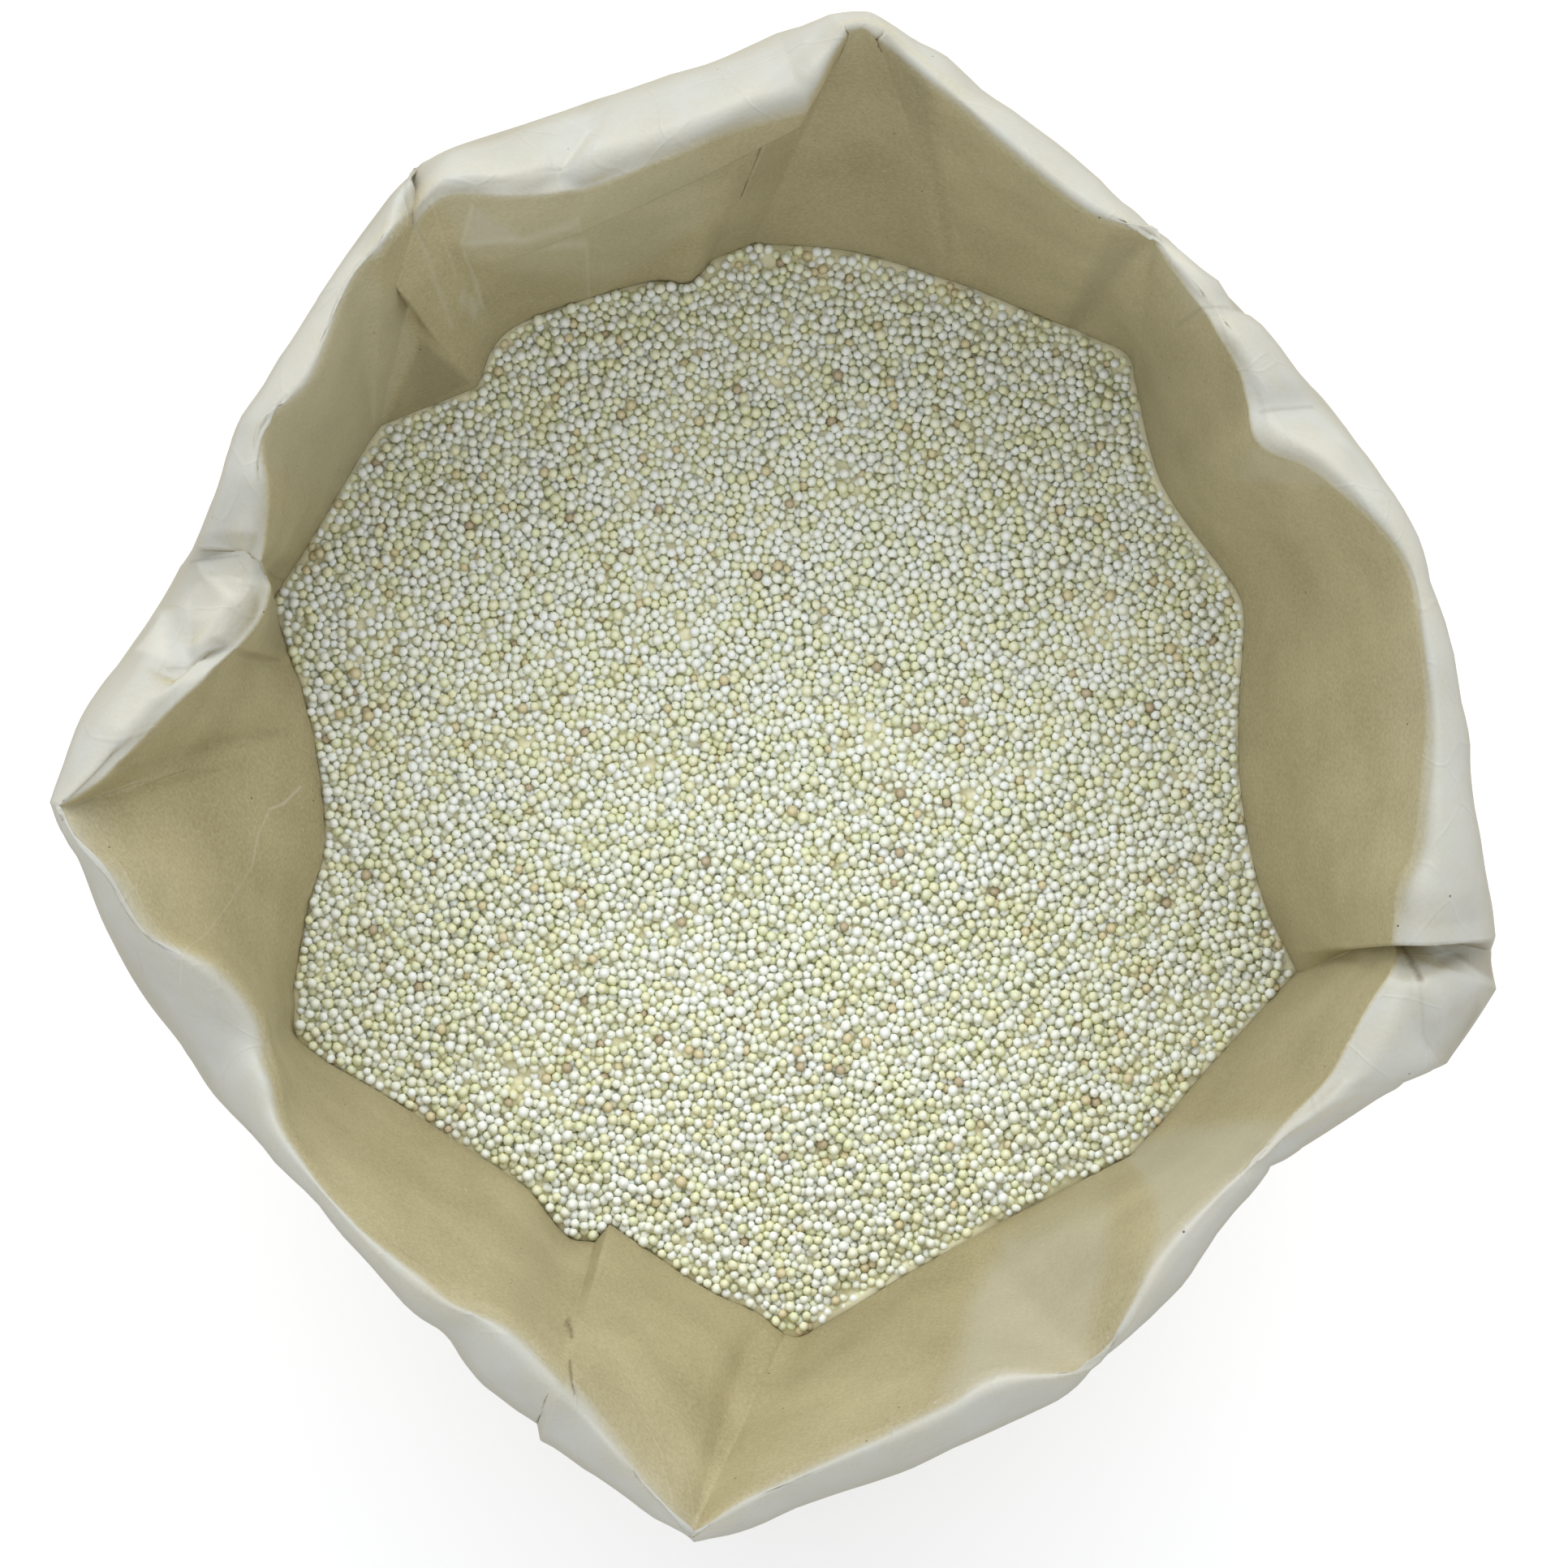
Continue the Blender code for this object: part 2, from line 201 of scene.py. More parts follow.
RIM_LINE = (              # station, x, y
    (0, -131, -3), (1, -127, 10), (2, -124, 17), (3, -119, 26), (4, -115, 33), (5, -111, 40),
    (6, -108, 43), (7, -103, 52), (8, -99, 62), (9, -92, 74), (10, -82, 90), (11, -71, 106),
    (12, -67.5, 109.5), (13, -66, 112.5), (14, -59, 115), (15, -47, 119), (16, -33, 124),
    (17, -22, 126.5), (18, -12, 129.5), (19, -1, 134.5), (20, 8, 136), (21, 14, 136),
    (22, 20, 134), (23, 31, 128.5), (24, 46, 117), (25, 61, 104.5), (26, 69, 98.5),
    (27, 82, 86), (28, 92, 75), (29, 98, 69), (30, 105, 59), (31, 113, 44), (32, 118, 29),
    (33, 122, 12), (34, 124, -2), (35, 126, -14), (36, 127.5, -21), (37, 128.5, -27.5),
    (38, 128, -30), (39, 129, -37), (40, 121, -48.5), (41, 119, -51), (42, 112, -53.5),
    (43, 109, -56), (44, 92.5, -66), (45, 87, -68.5), (46, 81, -77), (47, 71, -90),
    (48, 60, -100.5), (49, 52, -107.5), (50, 40, -114), (51, 25, -121.5), (52, 11, -127),
    (53, -6, -133.5), (54, -16, -136), (55, -30, -127), (56, -40, -120), (57, -43.5, -118),
    (58, -44, -115), (59, -53, -107.5), (60, -60, -100), (61, -68, -93), (62, -82, -78.5),
    (63, -97, -64), (64, -105, -57), (65, -111, -48), (66, -117, -39), (67, -123, -26.5),
    (68, -127, -14.5), (69, -130, -8),
)
print("key points", len(FILL_LINE), len(CREST_LINE), len(RIM_LINE))

# %% [markdown]
# Between its key points paper bends in smooth curves, except at a crease, where it keeps its
# corner. One curve function does both: it passes through every key point, and at a station
# named as a crease it arrives and leaves in a straight line. The columns of the sheet stand
# closer together near a crease, so that it comes out sharp.

# %% Curves through key points, with creases
CREASES = (0, 3, 5, 6, 11, 12, 13, 19, 20, 22, 26, 37, 38, 39, 42, 45, 54, 57, 58)
COLUMNS_A_STATION = 6
NEAR_CREASE = 0.5         # stations each side of a crease with closer columns
CLOSER = 3


def through_keys(keys, values, wanted, period=None, creases=()):
    """Smooth curve through key values at the wanted places, straight at the creases."""
    keys = np.asarray(keys, float)
    values = np.asarray(values, float)
    crease = np.array([key in creases for key in keys])
    if period:
        keys = np.concatenate([keys[-2:] - period, keys, keys[:2] + period])
        values = np.concatenate([values[-2:], values, values[:2]])
        crease = np.concatenate([crease[-2:], crease, crease[:2]])
    each = (-1,) + (1,) * (values.ndim - 1)
    span = np.diff(keys)
    slope = np.diff(values, axis=0) / span.reshape(each)
    leave = np.concatenate([slope, slope[-1:]])
    arrive = np.concatenate([slope[:1], slope])
    middle = (values[2:] - values[:-2]) / (keys[2:] - keys[:-2]).reshape(each)
    smooth = ~crease[1:-1]
    leave[1:-1][smooth] = middle[smooth]
    arrive[1:-1][smooth] = middle[smooth]
    spot = np.clip(np.searchsorted(keys, wanted, side="right") - 1, 0, len(span) - 1)
    share = ((wanted - keys[spot]) / span[spot]).reshape(each)
    width = span[spot].reshape(each)
    return ((2 * share ** 3 - 3 * share ** 2 + 1) * values[spot]
            + (share ** 3 - 2 * share ** 2 + share) * width * leave[spot]
            + (3 * share ** 2 - 2 * share ** 3) * values[spot + 1]
            + (share ** 3 - share ** 2) * width * arrive[spot + 1])


def ring(table, wanted):
    """Points of one ring at the wanted stations."""
    table = np.array(table, float)
    return through_keys(table[:, 0], table[:, 1:], wanted, STATIONS, CREASES)


def column_stations():
    """Stations of the sheet's columns, closer together beside the creases."""
    even = np.arange(0, STATIONS, 1 / COLUMNS_A_STATION)
    close = np.arange(-NEAR_CREASE, NEAR_CREASE, 1 / COLUMNS_A_STATION / CLOSER)
    extra = np.concatenate([(crease + close) % STATIONS for crease in CREASES])
    return np.unique(np.round(np.concatenate([even, extra]), 4))


stations = column_stations()
fill = ring(FILL_LINE, stations)
crest = ring(CREST_LINE, stations)
rim = ring(RIM_LINE, stations)
print("columns", len(stations))

# %% [markdown]
# Heights follow simple rules. The crest runs level but dips where the paper is slack or is
# tucked under a fold. The roll rises a little above the crest and falls to the rim. At the
# top, a flap of the wall laps over the gusset behind it, so the paper under its edge stands
# back.

# %% Heights of the crest and the flap at the top
CREST_HEIGHT = 227.0
CREST_DIPS = (            # station, half width, how far the crest sinks and the rim with it
    (4.5, 4.0, 13.0, 13.0),     # crumpled left side
    (12.6, 1.5, 17.0, 2.0),     # tube of paper at the upper left corner
    (21.0, 3.0, -4.0, -4.0),    # peak of the gusset at the top
    (38.3, 1.3, 13.0, 3.0),     # paper tucked under at the right corner
    (64.5, 4.0, 14.0, 14.0),    # slack lower left side
)
FLAP = (                  # station, height share of its lower edge, how far it stands proud
    (14, 0.62, 0.0), (15, 0.62, 1.0), (16, 0.66, 2.0), (17, 0.72, 3.0), (18, 0.8, 4.0),
    (19, 0.9, 4.5), (20, 0.9, 0.0),
)
FLAP_LIP = 0.06           # height share by which the flap hangs over the paper behind it


def bell(distance, half_width):
    """1 in the middle, falling smoothly to 0 at half_width."""
    near = np.clip(np.abs(distance) / half_width, 0, 1)
    return 0.5 + 0.5 * np.cos(np.pi * near)


def stations_from(middle):
    """Signed distance in stations, the short way round."""
    return (stations - middle + STATIONS / 2) % STATIONS - STATIONS / 2


crest_height = np.full(len(stations), CREST_HEIGHT)
rim_base = np.full(len(stations), CREST_HEIGHT)
for middle, half_width, crest_depth, rim_depth in CREST_DIPS:
    crest_height -= crest_depth * bell(stations_from(middle), half_width)
    rim_base -= rim_depth * bell(stations_from(middle), half_width)
flap = np.array(FLAP)
flap_edge = np.interp(stations, flap[:, 0], flap[:, 1])
flap_proud = np.interp(stations, flap[:, 0], flap[:, 2])
print("crest from", round(crest_height.min(), 1), "to", round(crest_height.max(), 1))

# %% [markdown]
# Below the grain the sack is a soft block that can't be seen from above. It is finished
# plainly: a flat base, a rounded foot and a belly that takes on the folds of the mouth only
# near the grain line. The sheet is a grid: columns run round the sack and rows climb from the
# base, up the wall, over the roll and down the cuff. Two rows lie on the flap's edge, one in
# front and one behind, so that the flap really laps over.

# %% Rows of the sheet from the base to the cuff's edge
PAPER = 0.5               # thickness of the sheet
CAD_WALL = 1.0            # thickness of the measured solid
CUFF_LENGTH = 50.0
CUFF_LEAN = 0.2           # share of the way in to the grain line at the cuff's edge
BODY_HALF_WIDTH = 100.0
BODY_HALF_DEPTH = 107.0
BODY_SQUARENESS = 2.8     # 2 is an ellipse, more is squarer
BASE_SIZE = 0.8272        # share of the belly's size
BODY_ROWS = (             # height, share of the belly's size, share of the grain line's outline
    (3.0, 0.895, 0.0), (12.0, 0.945, 0.0), (45.0, 1.0, 0.1), (85.0, 1.02, 0.3),
    (122.0, 1.0, 0.7),
)
ROLL_TOP_SHARE = 0.35     # where between crest and rim the roll is highest
ROLL_RISE_SHARE = 0.28    # rise of the roll over the crest, as a share of its width
ROLL_RISE_MOST = 3.5
RIM_DROP = 5.0            # drop from the crest to the rim, and its share of the roll's width
RIM_DROP_SHARE = 0.3
CREST_SHARPNESS = (       # station, 0 for a soft roll and 1 for a pressed edge
    (0, 0.6), (3, 0.9), (6, 0.9), (8, 0.3), (11, 0.3), (13, 0.8), (16, 0.9), (18, 0.6), (20, 0.3),
    (22, 0.2), (25, 0.5), (27, 0.9), (31, 0.8), (36, 0.4), (38, 1.0), (43, 0.9), (46, 0.2),
    (53, 0.2), (56, 0.5), (60, 0.1), (66, 0.1), (69, 0.6), (70, 0.6),
)
PRESSED_FLAT = 0.7        # how much less a pressed crest rises into the roll
BODY_STEPS = 4
WALL_LOW_STEPS = 20
WALL_HIGH_STEPS = 14
ROLL_STEPS = 12
CUFF_STEPS = 6

direction = np.arctan2(fill[:, 1], fill[:, 0])


def body_outline(size):
    """Rounded block outline of the body."""
    across = np.abs(np.cos(direction)) / (BODY_HALF_WIDTH * size)
    along = np.abs(np.sin(direction)) / (BODY_HALF_DEPTH * size)
    reach = (across ** BODY_SQUARENESS + along ** BODY_SQUARENESS) ** (-1 / BODY_SQUARENESS)
    return np.stack([reach * np.cos(direction), reach * np.sin(direction)], axis=1)


def row(plan, height):
    """One row of points: a place in plan and a height for each column."""
    return np.column_stack([plan, np.broadcast_to(height, len(plan))])


def rows_between(low, high, count):
    """Shares that run from low to just before high."""
    return np.linspace(low, high, count, endpoint=False)


roll_width = np.linalg.norm(rim - crest, axis=1)
sharpness = np.interp(stations, *np.array(CREST_SHARPNESS).T)
roll_rise = np.minimum(ROLL_RISE_MOST, roll_width * ROLL_RISE_SHARE)
roll_rise *= 1 - PRESSED_FLAT * sharpness
rim_height = rim_base - RIM_DROP - RIM_DROP_SHARE * roll_width
cuff_edge = rim + (fill - rim) * CUFF_LEAN
key_rows = [row(body_outline(BASE_SIZE), PAPER / 2)]
for height, size, share in BODY_ROWS:
    key_rows.append(row(body_outline(size) * (1 - share) + fill * share, height))
FILL_KEY = len(key_rows)
WALL_KEYS = 3             # keys on the wall: a third, two thirds and the crest
for share in (0, 1 / 3, 2 / 3, 1):
    level = GRAIN_LEVEL + (crest_height - GRAIN_LEVEL) * share
    key_rows.append(row(fill + (crest - fill) * share, level))
roll_top = crest_height + (rim_base - crest_height) * ROLL_TOP_SHARE + roll_rise
key_rows.append(row(crest + (rim - crest) * ROLL_TOP_SHARE, roll_top))
key_rows.append(row(rim, rim_height))
key_rows.append(row((rim + cuff_edge) / 2, (rim_height + rim_base - CUFF_LENGTH) / 2))
key_rows.append(row(cuff_edge, rim_base - CUFF_LENGTH))
key_rows = np.array(key_rows)

body_keys = np.repeat(rows_between(0, FILL_KEY, FILL_KEY * BODY_STEPS)[:, None],
                      len(stations), axis=1)
under_edge = FILL_KEY + WALL_KEYS * (flap_edge - FLAP_LIP)
over_edge = FILL_KEY + WALL_KEYS * flap_edge
low_keys = FILL_KEY + (under_edge - FILL_KEY) * np.linspace(0, 1, WALL_LOW_STEPS)[:, None]
crest_key = FILL_KEY + WALL_KEYS
high_keys = over_edge + (crest_key - over_edge) * rows_between(0, 1, WALL_HIGH_STEPS)[:, None]
rest = np.concatenate([rows_between(crest_key, crest_key + 2, 2 * ROLL_STEPS),
                       np.linspace(crest_key + 2, crest_key + 4, 2 * CUFF_STEPS + 1)])
rest_keys = np.repeat(rest[:, None], len(stations), axis=1)
sheet_keys = np.concatenate([body_keys, low_keys, high_keys, rest_keys])
fill_row = len(body_keys)
under_row = fill_row + WALL_LOW_STEPS - 1
crest_row = under_row + 1 + WALL_HIGH_STEPS
rim_row = crest_row + 2 * ROLL_STEPS

sheet = np.empty(sheet_keys.shape + (3,))
key_numbers = np.arange(len(key_rows))
for column, sharp in enumerate(sharpness):
    keys, points = sheet_keys[:, column], key_rows[:, column]
    soft_roll = through_keys(key_numbers, points, keys, creases=(FILL_KEY,))
    pressed = through_keys(key_numbers, points, keys, creases=(FILL_KEY, crest_key))
    sheet[:, column] = soft_roll * (1 - sharp) + pressed * sharp
print("sheet", sheet.shape, "fill, crest, rim rows", fill_row, crest_row, rim_row)

# %% [markdown]
# Crumpled paper isn't wavy like cloth. It stays flat between sharp creases that run straight
# from one point to the next. Its relief is therefore made as a net of triangles over the
# picture's plan: each corner of the net gets a small height, and between the corners the
# paper is flat. Most corners are random. The creases that the picture shows are lines of the
# net with their own heights. Heights count into the paper, so a ridge has a minus sign.

# %% Net of creases over the mouth
NET_REACH = 150.0
NET_JITTER = 0.42         # how far a corner strays from its place, in spacings
FLANK = 4.5               # how far beside a crease the paper is level again
FLANK_CLEAR = 3.6         # least distance of a level point from any crease
CORNER_CLEAR = 5.85       # least distance of a random corner from any crease
CREST_CALM = 0.8          # how much of the relief a pressed crest takes away
CALM_REACH = 0.4          # how far from the crest it does so, in keys
ABOVE_ALL = 50.0          # higher than any corner of a net
MOUTH_SEED = 21
NETS = (                  # spacing of the corners, height at the roll, height on the walls
    (17.0, 1.2, 0.8),
    (7.5, 0.45, 0.16),
)
SEEN_CREASES = (          # corners of each crease as x, y and depth into the paper
    ((-127, -3, 0.4), (-118, 3, 2.4), (-100, 10, 1.2)),         # left corner's valley
    ((-112, 30.5, -1.6), (-115, 20, -1.3), (-121, 10, -1.0)),   # facets of the left crumple
    ((-110, 34, 1.4), (-108, 25, 1.4)),
    ((-103.5, 37, -1.8), (-99, 32, -1.5), (-102, 26, -0.8)),
    ((-110.5, 20.5, 2.4), (-106, 22.5, 3.0), (-97, 24.5, 0.8)),
    ((-108, 40.5, 0.8), (-99, 41, 2.4), (-95, 40.5, 1.6)),
    ((-92, 64, 1.6), (-87, 65, 0.4)),                           # small bump of the left band
    ((-98, 56, -1.0), (-93, 59, 1.4)),
    ((-56, 104, -0.6), (-59, 98.5, -1.9), (-47, 99.5, -1.6), (-38, 102.5, -0.4)),
    ((-57, 95, 1.2), (-46, 96.5, 1.0)),                         # upper left star, its shadow
    ((-34, 117, 0.2), (-39.5, 109, 2.0), (-39, 106, 1.4)),      # fold in the top band
    ((-30, 116, -1.0), (-35.5, 108, -1.0)),
    ((66, 98.5, 1.4), (58, 97.5, 0.2)),                         # pointed crumple, upper right
    ((64.5, 96.5, 1.6), (59, 92, 2.0), (56, 89, 0.4)),
    ((81, 85.5, 1.6), (76, 84, 2.2), (72, 84, 0.6)),
    ((96, 68.5, 0.6), (85, 66.5, 1.4)),
    ((82, 61, -0.4), (88, 57, -0.6)),
    ((18, 131, -0.8), (25, 121, -0.9), (32, 101, -0.6)),        # edge of the gusset
    ((101, -31, 0.0), (126, -28.5, 0.0)),                       # straight edge, right fold
    ((112, -34, 0.8), (111.5, -38, 1.3), (113, -44.5, 1.0), (117.5, -50, 0.4)),
    ((127, -37, 0.5), (121, -43, 1.3), (119.5, -49, 1.0)),      # pocket, right corner
    ((119, -53, 0.0), (92, -63, 1.4), (66, -70, 0.5)),          # fold, lower right wall
    ((3, -101, 0.0), (-6, -110, 2.2), (-16, -131, 0.4)),        # bottom corner's valley
    ((52, -101, 0.5), (45, -97, 1.0), (36, -90, 0.2)),          # bend of the lower right band
    ((-92, -50, 1.2), (-80, -58, 0.4)),                         # dent of the slack band
)


def away_from(points, start, end):
    """Distance of points from the straight piece between start and end."""
    share = np.clip(((points - start) @ (end - start)) / ((end - start) @ (end - start)), 0, 1)
    return np.linalg.norm(points - start - share[:, None] * (end - start), axis=1)


def flank_points(fixed, edges):
    """Points beside the creases where the paper is level again."""
    flanks = []
    for start, end in edges:
        along = fixed[end] - fixed[start]
        across = np.array([-along[1], along[0]]) / np.linalg.norm(along) * FLANK
        for spot in (fixed[start], (fixed[start] + fixed[end]) / 2, fixed[end]):
            flanks += [spot + across, spot - across]
    flanks = np.array(flanks)
    clear = np.full(len(flanks), True)
    for start, end in edges:
        clear &= away_from(flanks, fixed[start], fixed[end]) > FLANK_CLEAR
    return flanks[clear]


def net_corners(spacing, creases, seed):
    """Corners of a net, their heights and its fixed edges: random, plus the given creases."""
    chance = np.random.default_rng(seed)
    count = int(NET_REACH / spacing)
    steps = np.arange(-count, count + 1) * spacing
    corners = np.array([(x, y) for x in steps for y in steps], float)
    corners += chance.uniform(-NET_JITTER, NET_JITTER, corners.shape) * spacing
    heights = chance.uniform(-1, 1, len(corners))
    edges = []
    if creases:
        fixed, fixed_heights = [], []
        for line in creases:
            first = len(fixed)
            fixed += [point[:2] for point in line]
            fixed_heights += [point[2] for point in line]
            edges += [(first + step, first + step + 1) for step in range(len(line) - 1)]
        clear = np.full(len(corners), True)
        for start, end in edges:
            a, b = np.array(fixed[start], float), np.array(fixed[end], float)
            clear &= away_from(corners, a, b) > CORNER_CLEAR
        corners = np.concatenate([fixed, corners[clear]])
        heights = np.concatenate([fixed_heights, heights[clear]])
        flanks = flank_points(np.array(fixed, float), edges)
        corners = np.concatenate([corners, flanks])
        heights = np.concatenate([heights, np.zeros(len(flanks))])
    return corners, heights, edges


def net_heights(net, points):
    """Height at points in plan of the net's flat triangles."""
    corners, heights, edges = net
    flat = [Vector(corner) for corner in corners]
    spots, _, faces, origin, _, _ = delaunay_2d_cdt(flat, edges, [], 0, 1e-5)
    levels = [heights[source[0] if source else 0] for source in origin]
    tree = BVHTree.FromPolygons([(spot.x, spot.y, level) for spot, level in zip(spots, levels)],
                                [tuple(face) for face in faces])
    down = Vector((0, 0, -1))
    result = np.zeros(len(points))
    for index, (x, y) in enumerate(points):
        hit = tree.ray_cast(Vector((x, y, ABOVE_ALL)), down)[0]
        if hit:
            result[index] = hit.z
    return result


def outward_normals(grid):
    """Normals of the sheet: away from the grain on the wall, down on the roll."""
    along = np.roll(grid, -1, axis=1) - np.roll(grid, 1, axis=1)
    up = np.gradient(grid, axis=0)
    cross = np.cross(up, along)
    return cross / np.maximum(np.linalg.norm(cross, axis=2, keepdims=True), 1e-9)


row_index = np.arange(len(sheet))
normals = outward_normals(sheet)
seen_rows = slice(fill_row, rim_row + 1)
seen_plan = sheet[seen_rows, :, :2].reshape(-1, 2)
on_roll = np.interp(row_index, [crest_row - 6, crest_row, rim_row, len(sheet) - 1],
                    [0, 1, 1, 0.6])
relief = np.zeros(sheet.shape[:2])
for number, (spacing, at_roll, at_wall) in enumerate(NETS):
    net = net_corners(spacing, SEEN_CREASES if number == 0 else (), MOUTH_SEED + number)
    height = net_heights(net, seen_plan).reshape(sheet[seen_rows].shape[:2])
    strength = at_wall + (at_roll - at_wall) * on_roll[seen_rows, None]
    relief[seen_rows] += height * strength
fade_in = np.interp(row_index, [fill_row, fill_row + 5], [0.3, 1])
relief *= fade_in[:, None]
relief *= 1 - CREST_CALM * sharpness * bell(sheet_keys - crest_key, CALM_REACH)
print("relief from", round(relief.min(), 2), "to", round(relief.max(), 2))

# %% [markdown]
# The cuff's outside and the body below it aren't in the plan's view. They get the same kind
# of net, laid round the sack: one side of it is the way round, the other is the height. The
# way runs out along the net and back again, so that both ends meet without a step. The flap
# at the top is lifted off the paper behind it in the same cell.

# %% Creases of the cuff and the body
SIDE_MIDDLE = 120.0       # height that lies in the middle of the net
CUFF_SHIFT = 12.0         # shifts the cuff on the net, so that it has creases of its own
SIDE_SPREAD = 1.9         # width of the net that is used, as a share of its reach
SIDE_SEED = 41
SIDE_NETS = (             # spacing of the corners, height
    (30.0, 2.0),
    (12.0, 0.6),
)
side_relief = np.zeros(sheet.shape[:2])
way_round = np.cumsum(np.linalg.norm(np.diff(fill, axis=0, prepend=fill[-1:]), axis=1))
folded_way = np.abs(way_round / way_round[-1] * 2 - 1) * NET_REACH * SIDE_SPREAD
folded_way -= NET_REACH * SIDE_SPREAD / 2
level = sheet[:, :, 2] - SIDE_MIDDLE + np.where(row_index > rim_row, CUFF_SHIFT, 0.0)[:, None]
side_plan = np.stack([np.broadcast_to(folded_way, sheet.shape[:2]), level], axis=2)
for number, (spacing, height) in enumerate(SIDE_NETS):
    net = net_corners(spacing, (), SIDE_SEED + number)
    bumps = net_heights(net, side_plan.reshape(-1, 2))
    side_relief += height * bumps.reshape(sheet.shape[:2])
side_share = np.interp(row_index, [0, 3, fill_row - 4, fill_row, rim_row, rim_row + 4],
                       [0, 1, 1, 0, 0, 1])[:, None]
relief += side_relief * side_share
behind = np.interp(row_index, [fill_row, under_row, under_row + 0.5], [0.25, 1, 0])[:, None]
relief += flap_proud * behind * (row_index[:, None] >= fill_row)
sheet = sheet + normals * relief[..., None]
print("relief with the flap up to", round(relief.max(), 2))

# %% [markdown]
# Now the grid becomes a mesh. The sheet is closed at the base by a flat bottom and gets the
# thickness of the paper from a Solidify modifier, so that its free edge at the cuff has a
# real thickness too. Values are kept on its points for the finish: how far the roll and the wall
# just below the crest are rubbed pale and carry a painted sheen of the lamp, what lies outside
# with its greyer colour and painted shade, and what lies round the mouth. Flat facets between
# creases catch the light as a whole, so straight-sided patches in the plan paint that light and
# shade into a facet's colour, each with its own soft edge.

# %% The paper sheet as a mesh
ROLL_FROM = -0.25         # where rubbing and painted sheen start and are full, in keys from the crest
ROLL_FULL = 0.35
PRESSED_STEP = 0.8        # how much narrower that change is at a pressed crest
ROLL_FADES = (1.6, 2.1)   # where rubbing and painted sheen end, in keys from the crest
OUTSIDE_FROM = (1.0, 1.5)
CUFF_FADES = (2.2, 2.8)   # where the cuff turns plainer, by the share below
CUFF_MOTTLE = 0.5
MOUTH_FADES = (2.0, 2.4)  # where the drawn lines of the mouth end
MOUTH_MARGIN = 0.05       # how soon below the grain line they end
TUBE_STATION = 12.9       # middle of the tube at the upper left corner, and its half width
TUBE_HALF_WIDTH = 1.1
TUBE_SHADE = 0.85         # how much less pale that tube is
PATCHES = (               # corners in plan; strength, painted light above 0 and painted shade below; soft edge
    (((-70.3, 86), (-81.5, 72), (-62.5, 80.5)), -0.5, 1.2),
    (((-55.6, 103.2), (-59, 98.9), (-47.5, 100)), 0.35, 0.8),
    (((-62.5, 93.5), (-60, 90.3), (-59, 93)), 0.5, 0.6),
    (((-62, 104.5), (-57, 97.5), (-35, 100.5), (-36, 105.5)), 0.2, 1.2),
    (((-36, 105.5), (-35, 100.5), (-12, 110), (-9, 115)), 0.2, 1.2),
    (((-110, 33.2), (-107, 29.5), (-101.6, 30.6), (-99.4, 34), (-102, 37), (-107.5, 36.5)),
     0.45, 1.2),
    (((-118.2, 24.4), (-110.4, 22.2), (-113, 30.3)), 0.45, 0.9),
    (((-100.8, 31), (-107.5, 24.4), (-100.8, 25.1), (-95, 31.8), (-96.4, 39)), -0.3, 1.2),
    (((28.5, -108.5), (53.5, -103.2), (44.3, -90.2)), 0.4, 2.5),
    (((44.3, -90.2), (53.5, -103.2), (61.2, -80.4)), 0.35, 2.5),
    (((69.3, -74.4), (71, -82), (94, -56.7)), 0.4, 1.2),
    (((69.3, -74.4), (60.6, -94.5), (71, -82)), 0.4, 1.2),
    (((113, -28.5), (127, -28), (129.5, -37), (125, -34), (118, -31)), -0.55, 0.9),
    (((124.9, -38.3), (122.7, -42.8), (121.5, -50.9), (123.4, -46.5), (125.9, -40.6)), -0.3, 1.0),
    (((66, 96), (73.5, 84.5), (79, 84), (70, 95)), 0.25, 1.0),
    (((86, 62), (83.5, 57), (98, 53), (100, 63)), 0.2, 1.0),
    (((58.5, 98.5), (65.5, 97.3), (60, 92.5), (55.5, 90)), -0.28, 1.5),
    (((55.5, 91.5), (61, 91), (61, 87.5), (56.5, 88)), 0.35, 1.2),
    (((64.9, 83.9), (75, 80.8), (82.8, 69.1), (75, 58.3), (71, 58.3)), -0.15, 3.0),
    (((17.9, 135), (25, 123.7), (31.7, 100), (-10, 100), (-17, 111), (11.8, 137)), -0.12, 1.5),
    (((-86, 83), (-75.4, 93.6), (-70.8, 86), (-76.9, 67.8), (-93.6, 55.6), (-95, 61.7)), 0.2, 3.0),
)
WALL_RUB_AND_SHEEN = 0.75          # how strong rubbing and painted sheen are where the wall meets a slack crest
RUB_AND_SHEEN_FALL = 1.5           # how fast that fades down the wall
RUB_AND_SHEEN_REACH = (            # station, height share down to which the wall is rubbed and painted with sheen
    (0, 0.2), (2, 0.5), (4, 0.55), (6, 0.3), (7, 0.0), (17, 0.0), (20, 0.1),
    (24, 0.1), (27, 0.1), (30, 0.2), (33, 0.45), (36, 0.4), (38, 0.0), (44, 0.0), (46, 0.35),
    (53, 0.5), (55, 0.5), (58, 0.5), (63, 0.5), (66, 0.4), (70, 0.2),
)


def build_mesh(name, vertices, faces):
    """A mesh from millimetre points and faces, with smooth shading."""
    mesh = bpy.data.meshes.new(name)
    mesh.from_pydata((np.asarray(vertices) * MM).tolist(), [], faces)
    mesh.validate()
    mesh.shade_smooth()
    return mesh


def place(name, mesh, material, node):
    """Put a mesh into the scene in place of a measured solid."""
    item = bpy.data.objects.new(name, mesh)
    mesh.materials.append(material)
    bpy.context.scene.collection.objects.link(item)
    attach(item, "root")
    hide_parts(node)
    return item


def patch_share(points, corners, soft_edge):
    """Share of a straight-sided patch at points in plan: 1 inside, softly 0 outside."""
    corners = np.array(corners, float)
    middle = corners.mean(axis=0)
    inside = np.full(points.shape[:-1], np.inf)
    for start, end in zip(corners, np.roll(corners, -1, axis=0)):
        across = np.array([start[1] - end[1], end[0] - start[0]]) / np.linalg.norm(end - start)
        across *= np.sign((middle - start) @ across)
        inside = np.minimum(inside, (points - start) @ across)
    return np.clip(inside / soft_edge + 0.5, 0, 1)


